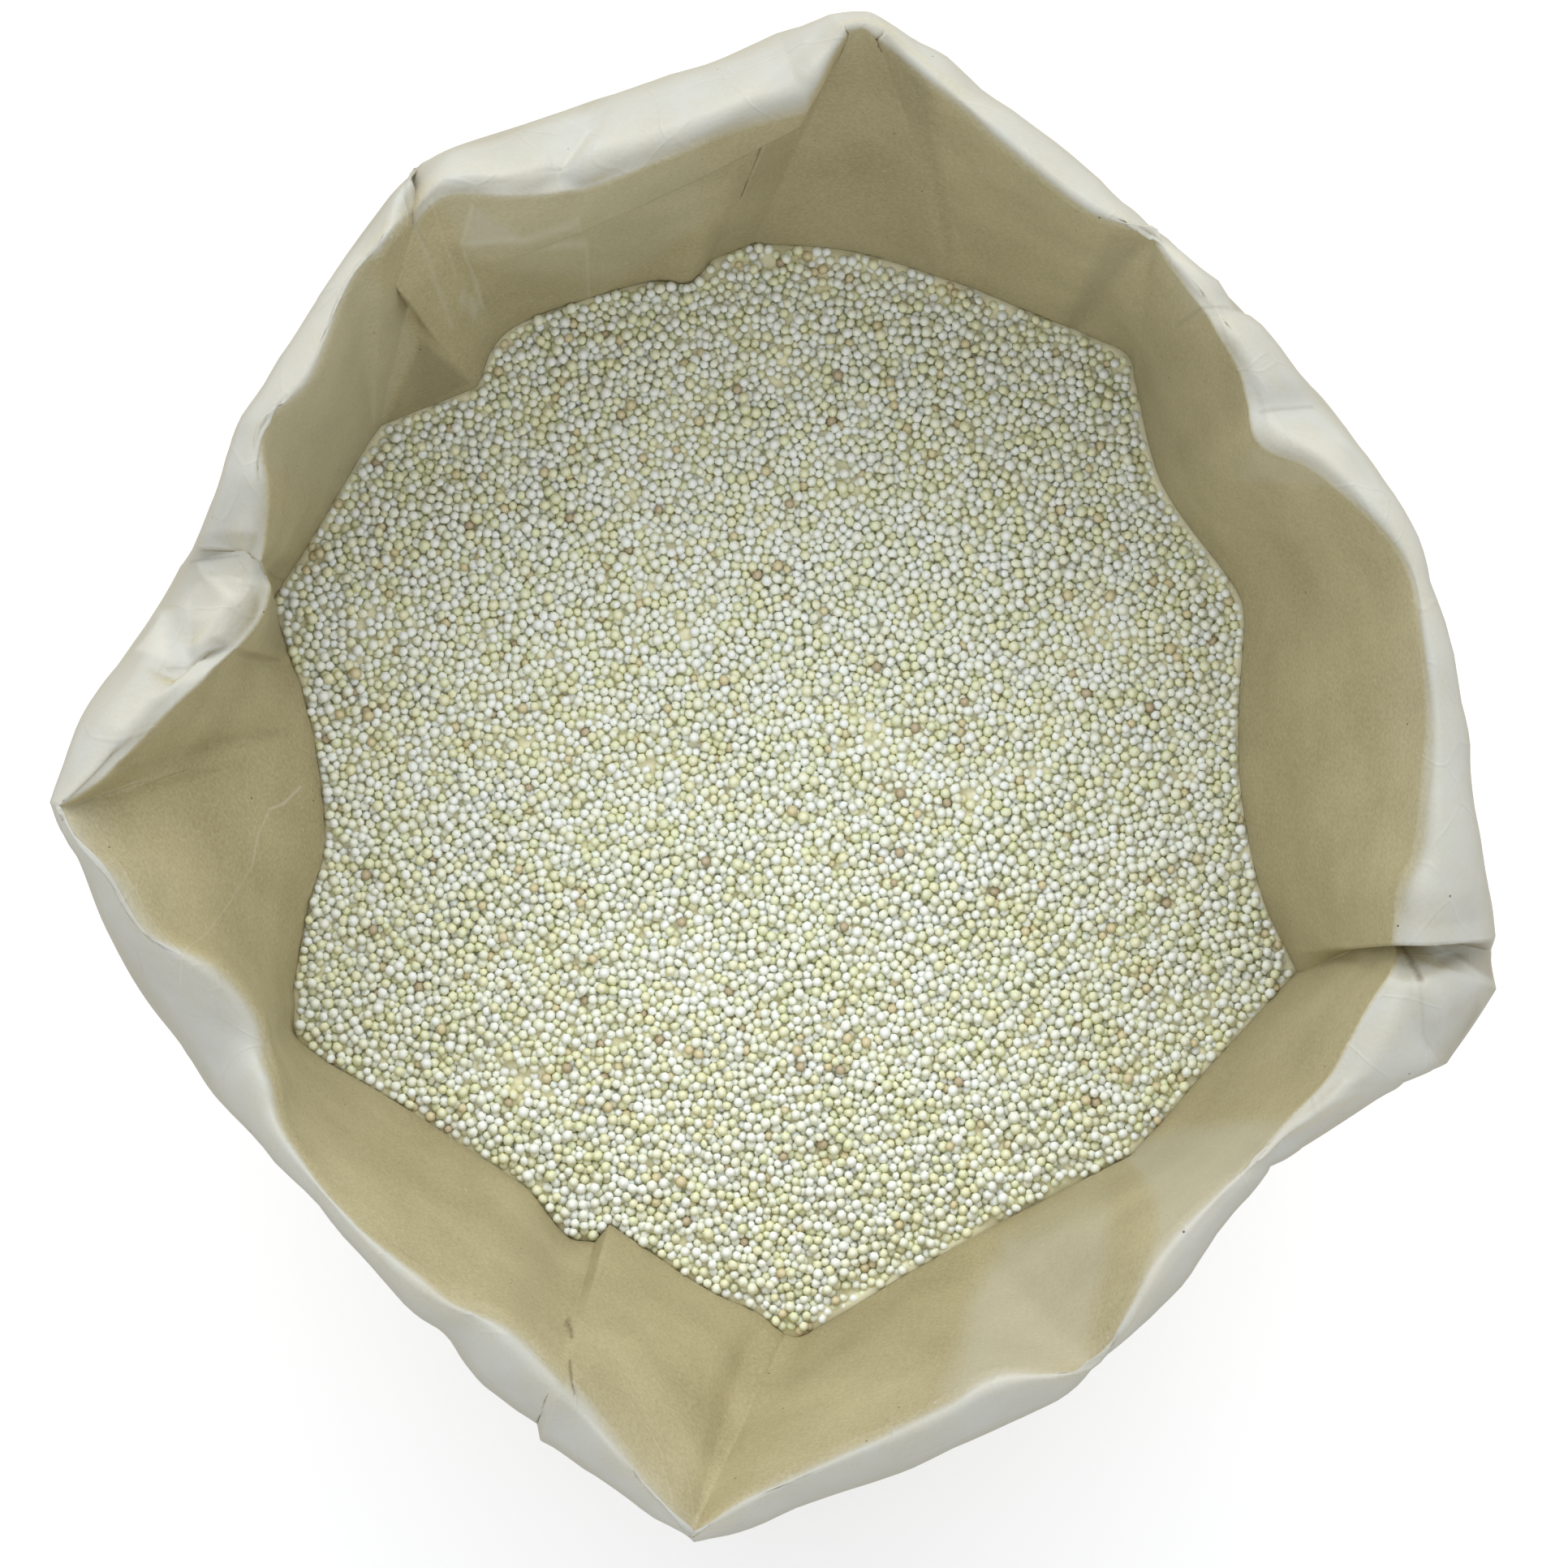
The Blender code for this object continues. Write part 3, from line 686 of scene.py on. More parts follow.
def rise(keys, start, end):
    """0 up to start, 1 from end on, and even between."""
    return np.clip((keys - start) / (end - start), 0, 1)


def sheet_faces(row_count, column_count):
    """Faces of a grid that closes round its columns."""
    faces = []
    for low in range(row_count - 1):
        for here in range(column_count):
            ahead = (here + 1) % column_count
            faces.append((low * column_count + here, (low + 1) * column_count + here,
                          (low + 1) * column_count + ahead, low * column_count + ahead))
    return faces


row_count, column_count = sheet.shape[:2]
paper_points = np.concatenate([sheet.reshape(-1, 3), [[0, 0, PAPER / 2]]])
paper_faces = sheet_faces(row_count, column_count)
centre = len(paper_points) - 1
paper_faces += [(here, (here + 1) % column_count, centre) for here in range(column_count)]
paper_mesh = build_mesh("kraft_sheet", paper_points, paper_faces)
past_crest = sheet_keys - crest_key
soft = 1 - PRESSED_STEP * sharpness
# The roll, and the wall below a slack crest, are rubbed pale and get a painted sheen, both in the
# colour.
roll_rub_and_sheen = rise(past_crest, ROLL_FROM * soft, ROLL_FULL * soft)
rub_and_sheen_reach = np.interp(stations, *np.array(RUB_AND_SHEEN_REACH).T)
below_crest = np.clip(-past_crest / WALL_KEYS / np.maximum(rub_and_sheen_reach, 0.01), 0, 1)
wall_rub_and_sheen = WALL_RUB_AND_SHEEN * (1 - below_crest) ** RUB_AND_SHEEN_FALL * (rub_and_sheen_reach > 0)
roll_rub_and_sheen = np.maximum(roll_rub_and_sheen, wall_rub_and_sheen) * (1 - rise(past_crest, *ROLL_FADES))
roll_rub_and_sheen *= 1 - TUBE_SHADE * bell(stations_from(TUBE_STATION), TUBE_HALF_WIDTH)
# The outside is greyer kraft, and darker as well with painted shade.
outside_grey_and_shade = rise(past_crest, *OUTSIDE_FROM)
outside_grey_and_shade *= 1 - CUFF_MOTTLE * rise(past_crest, *CUFF_FADES)
# Painted light and shade of the facets, patch by patch.
facet_light_and_shade = np.zeros(sheet_keys.shape)
for corners, strength, soft_edge in PATCHES:
    share = patch_share(sheet[seen_rows, :, :2], corners, soft_edge)
    facet_light_and_shade[seen_rows] += strength * share
mouth_mask = rise(sheet_keys, FILL_KEY - MOUTH_MARGIN, FILL_KEY)
mouth_mask *= 1 - rise(past_crest, *MOUTH_FADES)
masks = (("on_roll", roll_rub_and_sheen), ("outside", outside_grey_and_shade), ("on_mouth", mouth_mask),
         ("painted_light_patch", np.clip(facet_light_and_shade, 0, 1)), ("painted_shade_patch", np.clip(-facet_light_and_shade, 0, 1)))
for label, mask in masks:
    values = paper_mesh.attributes.new(label, "FLOAT", "POINT")
    values.data.foreach_set("value", np.append(mask.ravel(), 0.0))
print("paper faces", len(paper_faces))

# %% [markdown]
# Kraft paper is a mat of brown fibres. Close up it shows fine mottling, a few pale flecks and
# tiny dark specks, and paper that was worked by hand has a net of hairline creases and here
# and there a longer rubbed line. Dark lines of painted shade mark its slits and creases. Each
# effect is a node group, so that it can be placed again and again, on paper and on seeds, with
# other values.

# %% Node groups for mottle, specks, hairline creases and single lines
def new_group(name, inputs, outputs):
    """An empty shader group with named sockets."""
    group = bpy.data.node_groups.new(name, "ShaderNodeTree")
    for label, value in inputs:
        socket = group.interface.new_socket(label, in_out="INPUT",
                                            socket_type="NodeSocketFloat")
        socket.default_value = value
    for label in outputs:
        group.interface.new_socket(label, in_out="OUTPUT", socket_type="NodeSocketFloat")
    return group, group.nodes.new("NodeGroupInput"), group.nodes.new("NodeGroupOutput")


def make_mottle_group():
    """Fine and coarse noise mixed into one mask between 0 and 1."""
    group, start, end = new_group(
        "mottle", [("Coarse Scale", 60.0), ("Fine Scale", 900.0), ("Fine Share", 0.5)],
        ["Mask"])
    place_node = group.nodes.new("ShaderNodeTexCoord")
    coarse = group.nodes.new("ShaderNodeTexNoise")
    coarse.inputs["Detail"].default_value = 4.0
    fine = group.nodes.new("ShaderNodeTexNoise")
    fine.inputs["Detail"].default_value = 2.0
    mix = group.nodes.new("ShaderNodeMix")
    link = group.links.new
    link(place_node.outputs["Object"], coarse.inputs["Vector"])
    link(place_node.outputs["Object"], fine.inputs["Vector"])
    link(start.outputs["Coarse Scale"], coarse.inputs["Scale"])
    link(start.outputs["Fine Scale"], fine.inputs["Scale"])
    link(start.outputs["Fine Share"], mix.inputs["Factor"])
    link(coarse.outputs["Fac"], mix.inputs["A"])
    link(fine.outputs["Fac"], mix.inputs["B"])
    stretch = group.nodes.new("ShaderNodeMapRange")
    stretch.inputs["From Min"].default_value = 0.3
    stretch.inputs["From Max"].default_value = 0.7
    link(mix.outputs["Result"], stretch.inputs["Value"])
    link(stretch.outputs["Result"], end.inputs["Mask"])
    return group


def make_speck_group():
    """Small scattered dots: 1 in a dot, 0 elsewhere."""
    group, start, end = new_group(
        "specks", [("Scale", 300.0), ("Dot Size", 0.12), ("Rarity", 0.8)], ["Mask"])
    place_node = group.nodes.new("ShaderNodeTexCoord")
    cells = group.nodes.new("ShaderNodeTexVoronoi")
    dot = group.nodes.new("ShaderNodeMath")
    dot.operation = "LESS_THAN"
    split = group.nodes.new("ShaderNodeSeparateColor")
    rare = group.nodes.new("ShaderNodeMath")
    rare.operation = "GREATER_THAN"
    both = group.nodes.new("ShaderNodeMath")
    both.operation = "MULTIPLY"
    link = group.links.new
    link(place_node.outputs["Object"], cells.inputs["Vector"])
    link(start.outputs["Scale"], cells.inputs["Scale"])
    link(cells.outputs["Distance"], dot.inputs[0])
    link(start.outputs["Dot Size"], dot.inputs[1])
    link(cells.outputs["Color"], split.inputs["Color"])
    link(split.outputs["Red"], rare.inputs[0])
    link(start.outputs["Rarity"], rare.inputs[1])
    link(dot.outputs["Value"], both.inputs[0])
    link(rare.outputs["Value"], both.inputs[1])
    link(both.outputs["Value"], end.inputs["Mask"])
    return group


def make_hairline_group():
    """Straight hairline creases: 1 on a line, falling to 0 beside it."""
    group, start, end = new_group(
        "hairlines", [("Scale", 70.0), ("Line Width", 0.05), ("Bend", 0.01)], ["Mask"])
    place_node = group.nodes.new("ShaderNodeTexCoord")
    bend = group.nodes.new("ShaderNodeTexNoise")
    bend.inputs["Scale"].default_value = 30.0
    shift = group.nodes.new("ShaderNodeVectorMath")
    shift.operation = "SCALE"
    moved = group.nodes.new("ShaderNodeVectorMath")
    moved.operation = "ADD"
    cells = group.nodes.new("ShaderNodeTexVoronoi")
    cells.feature = "DISTANCE_TO_EDGE"
    line = group.nodes.new("ShaderNodeMapRange")
    line.inputs["To Min"].default_value = 1.0
    line.inputs["To Max"].default_value = 0.0
    link = group.links.new
    link(place_node.outputs["Object"], bend.inputs["Vector"])
    link(bend.outputs["Color"], shift.inputs[0])
    link(start.outputs["Bend"], shift.inputs["Scale"])
    link(place_node.outputs["Object"], moved.inputs[0])
    link(shift.outputs["Vector"], moved.inputs[1])
    link(moved.outputs["Vector"], cells.inputs["Vector"])
    link(start.outputs["Scale"], cells.inputs["Scale"])
    link(cells.outputs["Distance"], line.inputs["Value"])
    link(start.outputs["Line Width"], line.inputs["From Max"])
    link(line.outputs["Result"], end.inputs["Mask"])
    return group


def make_line_group():
    """One line in the plan: 1 along it, falling to 0 at its width, with a frayed edge."""
    group, start, end = new_group(
        "plan_line", [("Start X", 0.0), ("Start Y", 0.0), ("End X", 0.1), ("End Y", 0.0),
                      ("Width", 0.001), ("Fray", 0.0004)], ["Mask"])
    link = group.links.new

    def plan_point(first, second):
        node = group.nodes.new("ShaderNodeCombineXYZ")
        link(first, node.inputs["X"])
        link(second, node.inputs["Y"])
        return node.outputs["Vector"]

    def vector(operation, first, second):
        node = group.nodes.new("ShaderNodeVectorMath")
        node.operation = operation
        link(first, node.inputs[0])
        link(second, node.inputs["Scale"] if operation == "SCALE" else node.inputs[1])
        return node.outputs["Value" if operation in ("DOT_PRODUCT", "DISTANCE") else "Vector"]

    here = group.nodes.new("ShaderNodeTexCoord")
    split = group.nodes.new("ShaderNodeSeparateXYZ")
    link(here.outputs["Object"], split.inputs["Vector"])
    point = plan_point(split.outputs["X"], split.outputs["Y"])
    first = plan_point(start.outputs["Start X"], start.outputs["Start Y"])
    last = plan_point(start.outputs["End X"], start.outputs["End Y"])
    whole = vector("SUBTRACT", last, first)
    share = group.nodes.new("ShaderNodeMath")
    share.operation = "DIVIDE"
    share.use_clamp = True
    link(vector("DOT_PRODUCT", vector("SUBTRACT", point, first), whole), share.inputs[0])
    link(vector("DOT_PRODUCT", whole, whole), share.inputs[1])
    nearest = vector("ADD", first, vector("SCALE", whole, share.outputs["Value"]))
    fray = group.nodes.new("ShaderNodeTexNoise")
    fray.inputs["Scale"].default_value = 700.0
    link(here.outputs["Object"], fray.inputs["Vector"])
    frayed = group.nodes.new("ShaderNodeMath")
    frayed.operation = "MULTIPLY_ADD"
    link(fray.outputs["Fac"], frayed.inputs[0])
    link(start.outputs["Fray"], frayed.inputs[1])
    link(vector("DISTANCE", point, nearest), frayed.inputs[2])
    line = group.nodes.new("ShaderNodeMapRange")
    line.inputs["To Min"].default_value = 1.0
    line.inputs["To Max"].default_value = 0.0
    link(frayed.outputs["Value"], line.inputs["Value"])
    link(start.outputs["Width"], line.inputs["From Max"])
    link(line.outputs["Result"], end.inputs["Mask"])
    return group


mottle_group = make_mottle_group()
speck_group = make_speck_group()
hairline_group = make_hairline_group()
line_group = make_line_group()
print("groups", mottle_group.name, speck_group.name, hairline_group.name, line_group.name)

# %% [markdown]
# The paper's own colour is an olive brown. Where it turns over at the rim it looks almost
# white, because the pressed surface there mirrors the lamp overhead and is rubbed pale. That
# sheen is painted here as a pale colour on top of the rubbing, and it needs two things: the
# on_roll value kept on the mesh, and a facet that faces up. Facets that tilt away stay brown,
# which makes the crumples stand out. Colours are laid over each other in order: mottle, flecks,
# hairlines, the greyer outside with its painted shade, the rubbed pale with its painted sheen,
# the patches of painted light and shade, the worn lines, the lines of painted shade and last the
# specks.

# %% Kraft paper
LINE_FRAY = 0.6           # how ragged a line's edge is, as a share of its width
WORN_LINES = (            # rubbed pale: corners as x, y; width; strength
    (((-96.2, -0.6), (-98.4, -3.9), (-100.2, -4.9)), 0.55, 0.9),
    (((-100.2, -4.9), (-101.4, -9.5), (-102, -15.5)), 0.4, 0.5),
    (((-102, -15.5), (-105.9, -25.2), (-109, -36.7)), 0.35, 0.3),
    (((-55.6, 103.2), (-59, 98.9), (-47.5, 100), (-37.7, 102.8)), 0.8, 0.6),
    (((-59, 98.9), (-58.4, 92.5)), 0.8, 0.5),
    (((-66.5, 105), (-64, 88)), 1.1, 0.3),
    (((-62.6, 104), (-61.5, 95)), 0.7, 0.25),
    (((55.5, 89), (60, 84.5)), 1.2, 0.4),
    (((-35, 116), (-40, 108)), 0.9, 0.4),
    (((-37.5, 103), (-39.5, 97.5)), 0.6, 0.4),
)
SHADE_LINES = (            # painted shade in slits, valleys and creases
    (((17.6, 131), (25, 122.5), (33, 105)), 2.2, 0.22),
    (((-40.2, -99.4), (-38.8, -101)), 0.7, 0.95),
    (((-38.4, -103.4), (-37, -107.8)), 0.5, 0.9),
    (((-118, 3), (-108, 7.5), (-99, 10.5)), 2.4, 0.22),
    (((-68, 110), (-67.3, 103.5), (-65, 98)), 0.9, 0.22),
    (((111.4, -29.6), (112.9, -34.5)), 1.4, 0.8),
    (((112.6, -35.7), (114.1, -45), (118.5, -50.1)), 0.8, 0.15),
    (((72.5, 84.3), (79, 85)), 0.8, 0.3),
    (((84.5, 66), (94.5, 67.5)), 0.9, 0.3),
    (((-111, 20.8), (-107.5, 21), (-104, 23.5), (-100.5, 24.7)), 0.7, 0.3),
    (((-109, 40.8), (-98.5, 41.2)), 0.6, 0.3),
)
KRAFT_DARK = (0.315, 0.27, 0.145, 1)
KRAFT_LIGHT = (0.495, 0.44, 0.265, 1)
# greyer outer ply, darkened too by painted shade
KRAFT_GREY_OUTSIDE_AND_SHADE = (0.31, 0.29, 0.215, 1)
# rubbed pale, with the painted sheen of the lamp overhead
KRAFT_RUB_AND_SHEEN = (0.43, 0.438, 0.402, 1)
KRAFT_SHADED = (0.20, 0.165, 0.10, 1)
KRAFT_SHEEN = (0.54, 0.52, 0.44, 1)
KRAFT_FLECK = (0.50, 0.45, 0.32, 1)
# dark specks, and the colour of the lines of painted shade
KRAFT_SPECK_AND_SHADE = (0.10, 0.075, 0.045, 1)
KRAFT_WORN = (0.60, 0.57, 0.46, 1)


def add_group(nodes, group, **values):
    """Place a node group with its own values."""
    node = nodes.new("ShaderNodeGroup")
    node.node_tree = group
    for label, value in values.items():
        node.inputs[label.replace("_", " ")].default_value = value
    return node


def mix_colours(nodes, links, mask, first, second):
    """Mix two colours, or outputs, by a mask."""
    mix = nodes.new("ShaderNodeMix")
    mix.data_type = "RGBA"
    for socket, value in ((mix.inputs[6], first), (mix.inputs[7], second)):
        if isinstance(value, tuple):
            socket.default_value = value
        else:
            links.new(value, socket)
    links.new(mask, mix.inputs[0])
    return mix.outputs[2]


def map_range(nodes, links, value, low, high, to_low=0.0, to_high=1.0, smooth=False):
    """Map a value from one range to another."""
    node = nodes.new("ShaderNodeMapRange")
    if smooth:
        node.interpolation_type = "SMOOTHSTEP"
    node.inputs["From Min"].default_value = low
    node.inputs["From Max"].default_value = high
    node.inputs["To Min"].default_value = to_low
    node.inputs["To Max"].default_value = to_high
    links.new(value, node.inputs["Value"])
    return node.outputs["Result"]


def multiply(nodes, links, first, second):
    """Product of two values."""
    node = nodes.new("ShaderNodeMath")
    node.operation = "MULTIPLY"
    for socket, value in zip(node.inputs, (first, second)):
        if isinstance(value, float):
            socket.default_value = value
        else:
            links.new(value, socket)
    return node.outputs["Value"]


def facing_up(nodes, links):
    """How far the surface faces up, from -1 to 1."""
    geometry = nodes.new("ShaderNodeNewGeometry")
    split = nodes.new("ShaderNodeSeparateXYZ")
    links.new(geometry.outputs["Normal"], split.inputs["Vector"])
    return split.outputs["Z"]


def add_lines(nodes, links, lines):
    """Mask of a set of lines in the plan: the strongest of them at each place."""
    mask = None
    for corners, width, strength in lines:
        for (x0, y0), (x1, y1) in zip(corners, corners[1:]):
            line = add_group(nodes, line_group, Start_X=x0 * MM, Start_Y=y0 * MM,
                             End_X=x1 * MM, End_Y=y1 * MM, Width=width * MM,
                             Fray=LINE_FRAY * width * MM)
            value = multiply(nodes, links, line.outputs["Mask"], strength)
            if mask is None:
                mask = value
                continue
            stronger = nodes.new("ShaderNodeMath")
            stronger.operation = "MAXIMUM"
            links.new(mask, stronger.inputs[0])
            links.new(value, stronger.inputs[1])
            mask = stronger.outputs["Value"]
    return mask


def make_kraft():
    """Brown kraft paper with mottle, flecks, specks, a rubbed rim under a painted sheen, and
    painted light and shade.
    """
    material = bpy.data.materials.new("kraft_paper_finish")
    material.use_nodes = True
    nodes, links = material.node_tree.nodes, material.node_tree.links
    shader = nodes["Principled BSDF"]
    mottle = add_group(nodes, mottle_group, Coarse_Scale=45.0, Fine_Scale=1400.0, Fine_Share=0.5)
    flecks = add_group(nodes, speck_group, Scale=260.0, Dot_Size=0.10, Rarity=0.93)
    specks = add_group(nodes, speck_group, Scale=340.0, Dot_Size=0.08, Rarity=0.95)
    hairlines = add_group(nodes, hairline_group, Scale=60.0, Line_Width=0.03, Bend=0.02)
    roll = nodes.new("ShaderNodeAttribute")
    roll.attribute_name = "on_roll"
    colour = mix_colours(nodes, links, mottle.outputs["Mask"], KRAFT_DARK, KRAFT_LIGHT)
    colour = mix_colours(nodes, links, flecks.outputs["Mask"], colour, KRAFT_FLECK)
    worn = multiply(nodes, links, hairlines.outputs["Mask"],
                    map_range(nodes, links, roll.outputs["Fac"], 0.0, 1.0, 0.0, 0.12))
    colour = mix_colours(nodes, links, worn, colour, KRAFT_WORN)
    # Greyer outside, partly painted shade.
    outside = nodes.new("ShaderNodeAttribute")
    outside.attribute_name = "outside"
    colour = mix_colours(nodes, links, outside.outputs["Fac"], colour, KRAFT_GREY_OUTSIDE_AND_SHADE)
    # Painted highlight: on the roll, facets that face up turn pale as the lamp's sheen, over the
    # real rubbing.
    up = map_range(nodes, links, facing_up(nodes, links), 0.1, 0.85, smooth=True)
    clouds = add_group(nodes, mottle_group, Coarse_Scale=70.0, Fine_Scale=260.0, Fine_Share=0.3)
    cloudy = map_range(nodes, links, clouds.outputs["Mask"], 0.0, 1.0, 0.62, 1.0)
    rub_and_sheen = multiply(nodes, links, multiply(nodes, links, roll.outputs["Fac"], up), cloudy)
    colour = mix_colours(nodes, links, rub_and_sheen, colour, KRAFT_RUB_AND_SHEEN)
    # Painted light and shade of the facets.
    for label, tone in (("painted_light_patch", KRAFT_SHEEN), ("painted_shade_patch", KRAFT_SHADED)):
        patch = nodes.new("ShaderNodeAttribute")
        patch.attribute_name = label
        colour = mix_colours(nodes, links, patch.outputs["Fac"], colour, tone)
    mouth = nodes.new("ShaderNodeAttribute")
    mouth.attribute_name = "on_mouth"
    # Worn pale lines, then lines of painted shade.
    for lines, tone in ((WORN_LINES, KRAFT_WORN), (SHADE_LINES, KRAFT_SPECK_AND_SHADE)):
        drawn = multiply(nodes, links, add_lines(nodes, links, lines), mouth.outputs["Fac"])
        colour = mix_colours(nodes, links, drawn, colour, tone)
    colour = mix_colours(nodes, links, specks.outputs["Mask"], colour, KRAFT_SPECK_AND_SHADE)
    links.new(colour, shader.inputs["Base Color"])
    rough = map_range(nodes, links, rub_and_sheen, 0.0, 1.0, 0.6, 0.42)
    links.new(rough, shader.inputs["Roughness"])
    fibre_bump = nodes.new("ShaderNodeBump")
    fibre_bump.inputs["Strength"].default_value = 0.25
    fibre_bump.inputs["Distance"].default_value = 0.0002
    links.new(mottle.outputs["Mask"], fibre_bump.inputs["Height"])
    crease_bump = nodes.new("ShaderNodeBump")
    crease_bump.inputs["Distance"].default_value = 0.0004
    crease_bump.inputs["Strength"].default_value = 0.2
    raised = multiply(nodes, links, hairlines.outputs["Mask"],
                      map_range(nodes, links, roll.outputs["Fac"], 0.0, 1.0, 0.15, 1.0))
    links.new(raised, crease_bump.inputs["Height"])
    links.new(fibre_bump.outputs["Normal"], crease_bump.inputs["Normal"])
    links.new(crease_bump.outputs["Normal"], shader.inputs["Normal"])
    return material


kraft = make_kraft()
paper_sack = place("paper_sack", paper_mesh, kraft, "sack")
thicken = paper_sack.modifiers.new("paper_thickness", "SOLIDIFY")
thicken.thickness = PAPER * MM
thicken.offset = 0.0
print("paper sack", [round(side / MM, 1) for side in paper_sack.dimensions])

# %% [markdown]
# The seeds come next. Real grain isn't a neat lattice: seeds fall, roll into gaps and rest on
# each other. That is done here with plain arithmetic. Round stand-ins are dropped inside the
# sack, and again and again each pair that overlaps is pushed apart, while all sink a little
# and stay inside the paper and above a floor. First the sack's inside is measured as a map of
# distances to the paper, the nearer of its rings at the surface and a little below it.

# %% Distance from the paper at the grain line
SEED_RADIUS = 0.97
SEED_SPREAD = 0.085       # how much seeds differ in radius
SURFACE_SWELL = 1.6       # how far the poured surface rises and falls
SWELL_SIZE = 55.0         # and over what distance
MAP_REACH = 120.0
MAP_CELL = 1.5

DEEPEST_SEEN = 3.5        # how far below the surface seeds still show


def paper_below(depth):
    """The ring of the paper at a depth under the grain line."""
    above, below = sheet[fill_row], sheet[fill_row - 1]
    share = depth / (above[:, 2] - below[:, 2])
    return above + (below - above) * share[:, None]


def distance_map(outline):
    """Signed distance to an outline, positive inside, on a square map."""
    count = int(2 * MAP_REACH / MAP_CELL) + 1
    axis = np.linspace(-MAP_REACH, MAP_REACH, count)
    x, y = np.meshgrid(axis, axis, indexing="ij")
    nearest = np.full(x.shape, 1e9)
    inside = np.zeros(x.shape, bool)
    ends = np.roll(outline, -1, axis=0)
    for (ax, ay), (bx, by) in zip(outline, ends):
        dx, dy = bx - ax, by - ay
        share = np.clip(((x - ax) * dx + (y - ay) * dy) / (dx * dx + dy * dy + 1e-12), 0, 1)
        nearest = np.minimum(nearest, np.hypot(x - ax - share * dx, y - ay - share * dy))
        if ay != by:
            crossing = ax + (y - ay) * dx / dy
            inside ^= ((ay > y) != (by > y)) & (x < crossing)
    return np.where(inside, nearest, -nearest)


paper_distance = np.minimum(distance_map(paper_below(0)[:, :2]),
                            distance_map(paper_below(DEEPEST_SEEN)[:, :2]))
slope_x, slope_y = np.gradient(paper_distance, MAP_CELL)


def read_map(values, points):
    """Bilinear reading of a map at points."""
    place_x = np.clip((points[:, 0] + MAP_REACH) / MAP_CELL, 0, values.shape[0] - 1.001)
    place_y = np.clip((points[:, 1] + MAP_REACH) / MAP_CELL, 0, values.shape[1] - 1.001)
    ix, iy = place_x.astype(int), place_y.astype(int)
    fx, fy = place_x - ix, place_y - iy
    return ((values[ix, iy] * (1 - fx) + values[ix + 1, iy] * fx) * (1 - fy)
            + (values[ix, iy + 1] * (1 - fx) + values[ix + 1, iy + 1] * fx) * fy)


def swell(points):
    """Slow unevenness of the poured surface."""
    return SURFACE_SWELL * np.array(
        [noise.noise(Vector((x, y, 0)) / SWELL_SIZE) for x, y in points[:, :2]])


grain_area = (paper_distance > 0).sum() * MAP_CELL ** 2
print("grain surface", round(grain_area / 100), "square centimetres")

# %% [markdown]
# Dropping and settling. A bed not quite three seeds deep is enough, because nothing deeper
# shows. The pairs of neighbours are looked up with a search tree every few rounds, and all
# pushes of a round are summed at once.

# %% Drop the seeds and let them settle
PILE_DEPTH = 4.6
LAYERS = 2.85
LAYER_FILL = 0.80         # share of the area that one layer of round seeds covers
SMALLEST, LARGEST = 0.78, 1.18
ROUNDS = 110
LOOK_AGAIN = 8            # rounds between two searches for neighbours
NEIGHBOUR_REACH = 2.75
SINK = 0.12               # fall in the first round; it dies away to the last
EASE = 0.45               # share of a seed's contacts that its pushes are spread over
FLOOR_CONTACT = 0.8       # height of a seed's middle over the floor, in radii
WALL_CLEARANCE = 0.15

rng = np.random.default_rng(11)
seed_count = int(LAYERS * LAYER_FILL * grain_area / (math.pi * SEED_RADIUS ** 2))
spots = []
while len(spots) < seed_count:
    tries = rng.uniform(-MAP_REACH, MAP_REACH, (seed_count, 2))
    spots += list(tries[read_map(paper_distance, tries) > SEED_RADIUS + WALL_CLEARANCE])
spots = np.array(spots[:seed_count])
floor_level = GRAIN_LEVEL + swell(spots) - PILE_DEPTH
seeds = np.column_stack([spots, floor_level + rng.uniform(0.5, 1.5, seed_count) * PILE_DEPTH])
radii = np.clip(rng.normal(SEED_RADIUS, SEED_SPREAD, seed_count), SMALLEST, LARGEST)


def touching_pairs(points, reach):
    """Pairs of seeds nearer than reach."""
    tree = kdtree.KDTree(len(points))
    for index, point in enumerate(points):
        tree.insert(point, index)
    tree.balance()
    first, second = [], []
    for index, point in enumerate(points):
        for _, other, _ in tree.find_range(point, reach):
            if other > index:
                first.append(index)
                second.append(other)
    return np.array(first), np.array(second)


for turn in range(ROUNDS):
    if turn % LOOK_AGAIN == 0:
        first, second = touching_pairs(seeds, NEIGHBOUR_REACH)
        floor_level = GRAIN_LEVEL - PILE_DEPTH + swell(seeds)
    apart = seeds[second] - seeds[first]
    distance = np.maximum(np.linalg.norm(apart, axis=1), 1e-6)
    overlap = np.maximum(radii[first] + radii[second] - distance, 0)
    push = apart * (0.5 * overlap / distance)[:, None]
    move = np.zeros_like(seeds)
    hits = (np.bincount(first, overlap > 0, seed_count)
            + np.bincount(second, overlap > 0, seed_count))
    for axis in range(3):
        move[:, axis] = (np.bincount(second, push[:, axis], seed_count)
                         - np.bincount(first, push[:, axis], seed_count))
    seeds += move / np.maximum(hits * EASE, 1)[:, None]
    seeds[:, 2] -= SINK * (1 - turn / ROUNDS)
    seeds[:, 2] = np.maximum(seeds[:, 2], floor_level + radii * FLOOR_CONTACT)
    room = read_map(paper_distance, seeds) - radii - WALL_CLEARANCE
    tight = np.minimum(room, 0)
    seeds[:, 0] -= tight * read_map(slope_x, seeds)
    seeds[:, 1] -= tight * read_map(slope_y, seeds)
print("settled", seed_count, "seeds, top at", round(seeds[:, 2].max(), 1))

# %% [markdown]
# Many of the dropped seeds are buried. A height map, seen from above, tells which seed is the
# topmost at each place. Seeds that show nowhere, or only in a speck, are left out.

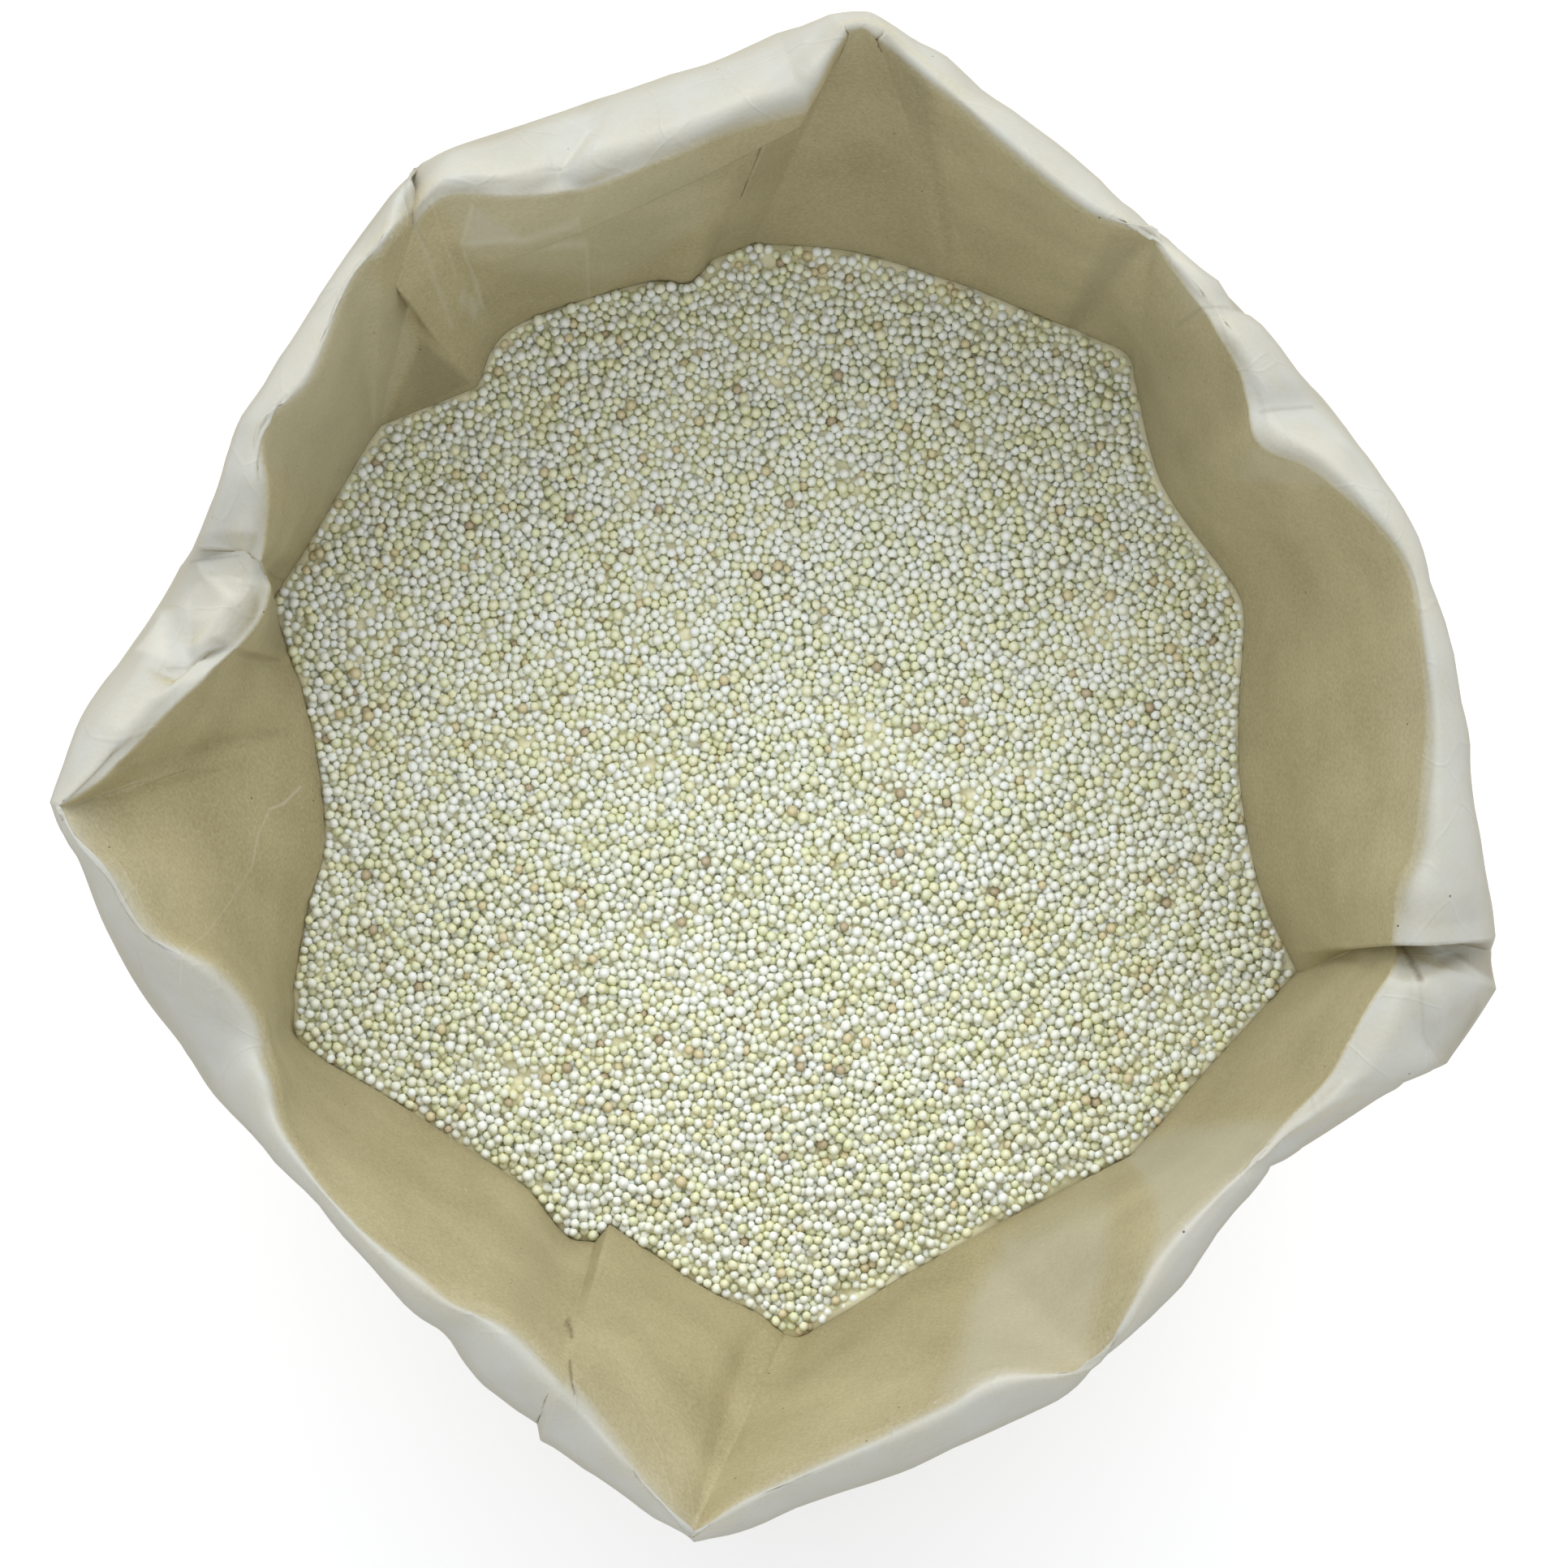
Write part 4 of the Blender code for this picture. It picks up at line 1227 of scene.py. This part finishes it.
# %% Find the seeds that show
VIEW_CELL = 0.22
LEAST_CELLS = 3           # a seed shows if it is topmost in more cells than this
view_count = int(2 * MAP_REACH / VIEW_CELL)


def look_down(points, reach):
    """Index of the topmost seed in each cell of a map seen from above, or -1."""
    best = np.full(view_count * view_count, -1e9)
    owner = np.full(view_count * view_count, -1)
    span = int(math.ceil(LARGEST / VIEW_CELL))
    base = ((points[:, :2] + MAP_REACH) / VIEW_CELL).astype(int)
    for dx in range(-span, span + 1):
        for dy in range(-span, span + 1):
            cell = base + (dx, dy)
            centre_of_cell = (cell + 0.5) * VIEW_CELL - MAP_REACH
            away = np.sum((centre_of_cell - points[:, :2]) ** 2, axis=1)
            hit = away < reach ** 2
            height = points[:, 2] + np.sqrt(np.maximum(reach ** 2 - away, 0))
            spot = np.clip(cell[:, 0] * view_count + cell[:, 1], 0, best.size - 1)
            order = np.argsort(height[hit])
            where, value = spot[hit][order], height[hit][order]
            who = np.nonzero(hit)[0][order]
            higher = value > best[where]
            best[where[higher]] = value[higher]
            owner[where[higher]] = who[higher]
    return owner


topmost = look_down(seeds, radii)
shown = np.bincount(topmost[topmost >= 0], minlength=seed_count) > LEAST_CELLS
print("seeds that show", int(shown.sum()))

# %% [markdown]
# The core is the grain's own body under the loose seeds. It fills the sack from the base up
# to just below the seeds that show, and its top carries relief of the same size as seeds, so
# that a gap between two seeds shows more grain and not a flat floor. Towards the paper the
# top rises a little and meets it, so that no dark gap shows behind the last seeds.

# %% The core with its relief
CORE_DEPTH = 2.8          # how far the core's top lies below the surface
CORE_CELL = 1.1
TRIANGLE_HEIGHT = 0.866   # of an even triangle, as a share of its side
CORE_BUMP = 0.56
CORE_BUMP_SIZE = 1.9
CORE_EDGE = 1.9           # how far the core's edge lies below the surface
CORE_EDGE_WIDTH = 1.6     # how far from the paper the top starts to rise to that edge
CORE_INSET = 1.0          # least distance of the top's lattice from the core's side

core_clear = CAD_WALL / 2 + 0.35
edge_clear = PAPER / 2 + 0.05


def core_rings():
    """Rings of the core's side, just inside the paper, from the base to the top."""
    rings = [sheet[number] - normals[number] * core_clear for number in range(fill_row)]
    top = paper_below(CORE_EDGE) - normals[fill_row] * edge_clear
    top[:, 2] = GRAIN_LEVEL - CORE_EDGE
    return rings + [top]


def core_top(edge):
    """Bumpy top: a lattice of triangles inside the edge, raised by seed-sized noise."""
    count = int(MAP_REACH / CORE_CELL)
    lattice = np.array([((i + 0.5 * (j % 2)) * CORE_CELL, j * CORE_CELL * TRIANGLE_HEIGHT)
                        for i in range(-count, count + 1) for j in range(-count, count + 1)])
    lattice = lattice[read_map(paper_distance, lattice) > core_clear + CORE_INSET]
    wobble = np.array([noise.noise(Vector((x / CORE_BUMP_SIZE, y / CORE_BUMP_SIZE, 3.0)))
                       for x, y in lattice])
    near_paper = 1 - np.clip(read_map(paper_distance, lattice) / CORE_EDGE_WIDTH, 0, 1)
    height = GRAIN_LEVEL - CORE_DEPTH + swell(lattice) + CORE_BUMP * wobble
    height += (CORE_DEPTH - CORE_EDGE) * near_paper
    flat = [Vector(point) for point in edge[:, :2]] + [Vector(point) for point in lattice]
    border = [(i, (i + 1) % len(edge)) for i in range(len(edge))]
    spots, _, faces, origin, _, _ = delaunay_2d_cdt(flat, border, [], 1, 1e-6)
    points = []
    for spot, source in zip(spots, origin):
        index = source[0] if source else 0
        level = edge[index, 2] if index < len(edge) else height[index - len(edge)]
        points.append((spot.x, spot.y, level))
    return points, faces


rings = core_rings()
top_points, top_faces = core_top(rings[-1])
column_total = len(stations)
core_points = [tuple(point) for one in rings[:-1] for point in one]
shift = len(core_points)
core_points += top_points
core_faces = [tuple(index + shift for index in face) for face in top_faces]
core_faces += sheet_faces(len(rings), column_total)
core_points.append((0, 0, core_clear + CAD_WALL / 2))
core_faces += [((i + 1) % column_total, i, len(core_points) - 1) for i in range(column_total)]
print("core faces", len(core_faces))

# %% [markdown]
# A quinoa seed is a round, slightly flattened bead with a blunt edge and a shallow dimple in
# the middle. One small mesh is enough, because each seed is only two millimetres wide. It is
# copied by arithmetic: every seed gets its own size, flatness and tilt, and all seeds of one
# colour become one mesh.

# %% One seed and the joined copies
SEED_SIDES = 7
SEED_RINGS = (48, 6, -38)      # latitudes of the rings, in degrees
FLATNESS = 0.80           # height of a seed as a share of its width
DIMPLE = 0.10
TILT = 0.55               # how much seeds lean, in radians
SEED_STRETCH = ((1.14, 0.04), (1.09, 0.04), (1.06, 0.07))   # mean and spread, three ways


def seed_shape():
    """Points and triangles of one seed of radius 1."""
    points = [(0, 0, FLATNESS * (1 - DIMPLE))]
    for latitude in SEED_RINGS:
        angle = math.radians(latitude)
        for side in range(SEED_SIDES):
            turn = 2 * math.pi * (side + 0.5 * (latitude < 20)) / SEED_SIDES
            points.append((math.cos(angle) * math.cos(turn), math.cos(angle) * math.sin(turn),
                           FLATNESS * math.sin(angle)))
    points.append((0, 0, -FLATNESS * (1 - DIMPLE)))
    faces = [(0, 1 + side, 1 + (side + 1) % SEED_SIDES) for side in range(SEED_SIDES)]
    for ring_number in range(len(SEED_RINGS) - 1):
        upper = 1 + ring_number * SEED_SIDES
        lower = upper + SEED_SIDES
        for side in range(SEED_SIDES):
            ahead = (side + 1) % SEED_SIDES
            faces.append((upper + side, lower + side, lower + ahead))
            faces.append((upper + side, lower + ahead, upper + ahead))
    last = 1 + (len(SEED_RINGS) - 1) * SEED_SIDES
    faces += [(len(points) - 1, last + (side + 1) % SEED_SIDES, last + side)
              for side in range(SEED_SIDES)]
    return np.array(points), np.array(faces)


def turned(count, rng):
    """Random turning matrices: lying roughly flat, any way round."""
    tilt = np.abs(rng.normal(0, TILT, count))
    way = rng.uniform(0, 2 * np.pi, count)
    spin = rng.uniform(0, 2 * np.pi, count)
    up = np.column_stack([np.sin(tilt) * np.cos(way), np.sin(tilt) * np.sin(way), np.cos(tilt)])
    helper = np.column_stack([np.cos(spin), np.sin(spin), np.zeros(count)])
    side = np.cross(up, helper)
    side /= np.maximum(np.linalg.norm(side, axis=1, keepdims=True), 1e-6)
    return np.stack([side, np.cross(up, side), up], axis=2)


def joined_seeds(name, places_of_seeds, sizes, material, rng):
    """All seeds of one kind as one mesh."""
    points, faces = seed_shape()
    count = len(places_of_seeds)
    stretch = np.column_stack([rng.normal(*each, count) for each in SEED_STRETCH])
    shaped = points[None] * stretch[:, None] * sizes[:, None, None]
    spun = np.einsum("nij,nkj->nki", turned(count, rng), shaped)
    vertices = (spun + places_of_seeds[:, None]).reshape(-1, 3) * MM
    triangles = (faces[None] + (np.arange(count) * len(points))[:, None, None]).reshape(-1, 3)
    mesh = bpy.data.meshes.new(name)
    mesh.vertices.add(len(vertices))
    mesh.vertices.foreach_set("co", vertices.ravel())
    mesh.loops.add(triangles.size)
    mesh.loops.foreach_set("vertex_index", triangles.ravel().astype(np.int32))
    mesh.polygons.add(len(triangles))
    mesh.polygons.foreach_set("loop_start", np.arange(0, triangles.size, 3, dtype=np.int32))
    mesh.update(calc_edges=True)
    mesh.shade_smooth()
    tone = mesh.attributes.new("seed_tone", "FLOAT", "POINT")
    tone.data.foreach_set("value", np.repeat(rng.random(count), len(points)))
    return place(name, mesh, material, "quinoa")


print("triangles in a seed", len(seed_shape()[1]))

# %% [markdown]
# White quinoa is a mix: chalky white seeds, pearly ones, cream, straw and a few tan ones,
# with a rare rusty speck. Each kind gets its own material from the same recipe. A seed lets
# light through, so it is palest where it faces up and yellower at its sides. That light is
# painted into the colour here, because scattered light would double the time to render.

# %% Seed materials
SEED_KINDS = (            # name, share, colour on top, colour of the sides; the two paint the light let through
    ("seeds_chalk", 0.245, (0.87, 0.93, 0.94, 1), (0.92, 0.94, 0.87, 1)),
    ("seeds_pearl", 0.25, (0.85, 0.91, 0.88, 1), (0.90, 0.92, 0.78, 1)),
    ("seeds_cream", 0.23, (0.83, 0.88, 0.80, 1), (0.87, 0.88, 0.67, 1)),
    ("seeds_straw", 0.14, (0.81, 0.84, 0.68, 1), (0.84, 0.83, 0.52, 1)),
    ("seeds_green", 0.11, (0.78, 0.83, 0.67, 1), (0.81, 0.83, 0.51, 1)),
    ("seeds_tan", 0.02, (0.72, 0.67, 0.47, 1), (0.66, 0.57, 0.33, 1)),
    ("seeds_speck", 0.005, (0.56, 0.48, 0.34, 1), (0.46, 0.38, 0.24, 1)),
)


def make_seed_material(name, pale, sides):
    """Dry seed: pale on top and yellower at the sides in painted light, each seed with its own
    tone.
    """
    material = bpy.data.materials.new(name + "_skin")
    material.use_nodes = True
    nodes, links = material.node_tree.nodes, material.node_tree.links
    shader = nodes["Principled BSDF"]
    shader.inputs["Roughness"].default_value = 0.5
    # Painted light: pale where the seed faces up, yellower at the sides where light comes through.
    through_light_share = map_range(nodes, links, facing_up(nodes, links), 0.35, 0.95)
    colour = mix_colours(nodes, links, through_light_share, sides, pale)
    tone = nodes.new("ShaderNodeAttribute")
    tone.attribute_name = "seed_tone"
    darker = map_range(nodes, links, tone.outputs["Fac"], 0.0, 1.0, 0.0, 0.35)
    colour = mix_colours(nodes, links, darker, colour, sides)
    mottle = add_group(nodes, mottle_group, Coarse_Scale=420.0, Fine_Scale=2200.0,
                       Fine_Share=0.35)
    faint = map_range(nodes, links, mottle.outputs["Mask"], 0.4, 1.0, 0.0, 0.6)
    colour = mix_colours(nodes, links, faint, colour, sides)
    links.new(colour, shader.inputs["Base Color"])
    return material


kinds = rng.choice(len(SEED_KINDS), seed_count, p=[kind[1] for kind in SEED_KINDS])
for number, (name, _, pale, sides) in enumerate(SEED_KINDS):
    chosen = shown & (kinds == number)
    material = make_seed_material(name, pale, sides)
    piece = joined_seeds(name, seeds[chosen], radii[chosen], material, rng)
    print(name, int(chosen.sum()), "seeds,", len(piece.data.polygons), "triangles")

# %% [markdown]
# The core wears the same recipe in a yellower colour, painted for the warm light that reaches
# grain lying between and under the seeds.

# %% Place the core
core_material = make_seed_material("grain_core", (0.88, 0.85, 0.62, 1), (0.82, 0.78, 0.50, 1))
core_mesh = build_mesh("grain_core", core_points, core_faces)
core = place("grain_core", core_mesh, core_material, "quinoa")
print("core", [round(side / MM, 1) for side in core.dimensions])

# %% [markdown]
# Last, both boxes are set side by side, that of the solids and that of this model, so that they
# can be compared.

# %% Keep the sizes and finish
visual_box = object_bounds()


def plain(value):
    """Nested vectors as plain lists of numbers."""
    if hasattr(value, "__len__"):
        return [plain(one) for one in value]
    return float(value)


{"cad": plain(cad_box), "visual": plain(visual_box)}
print("visual box", visual_box)
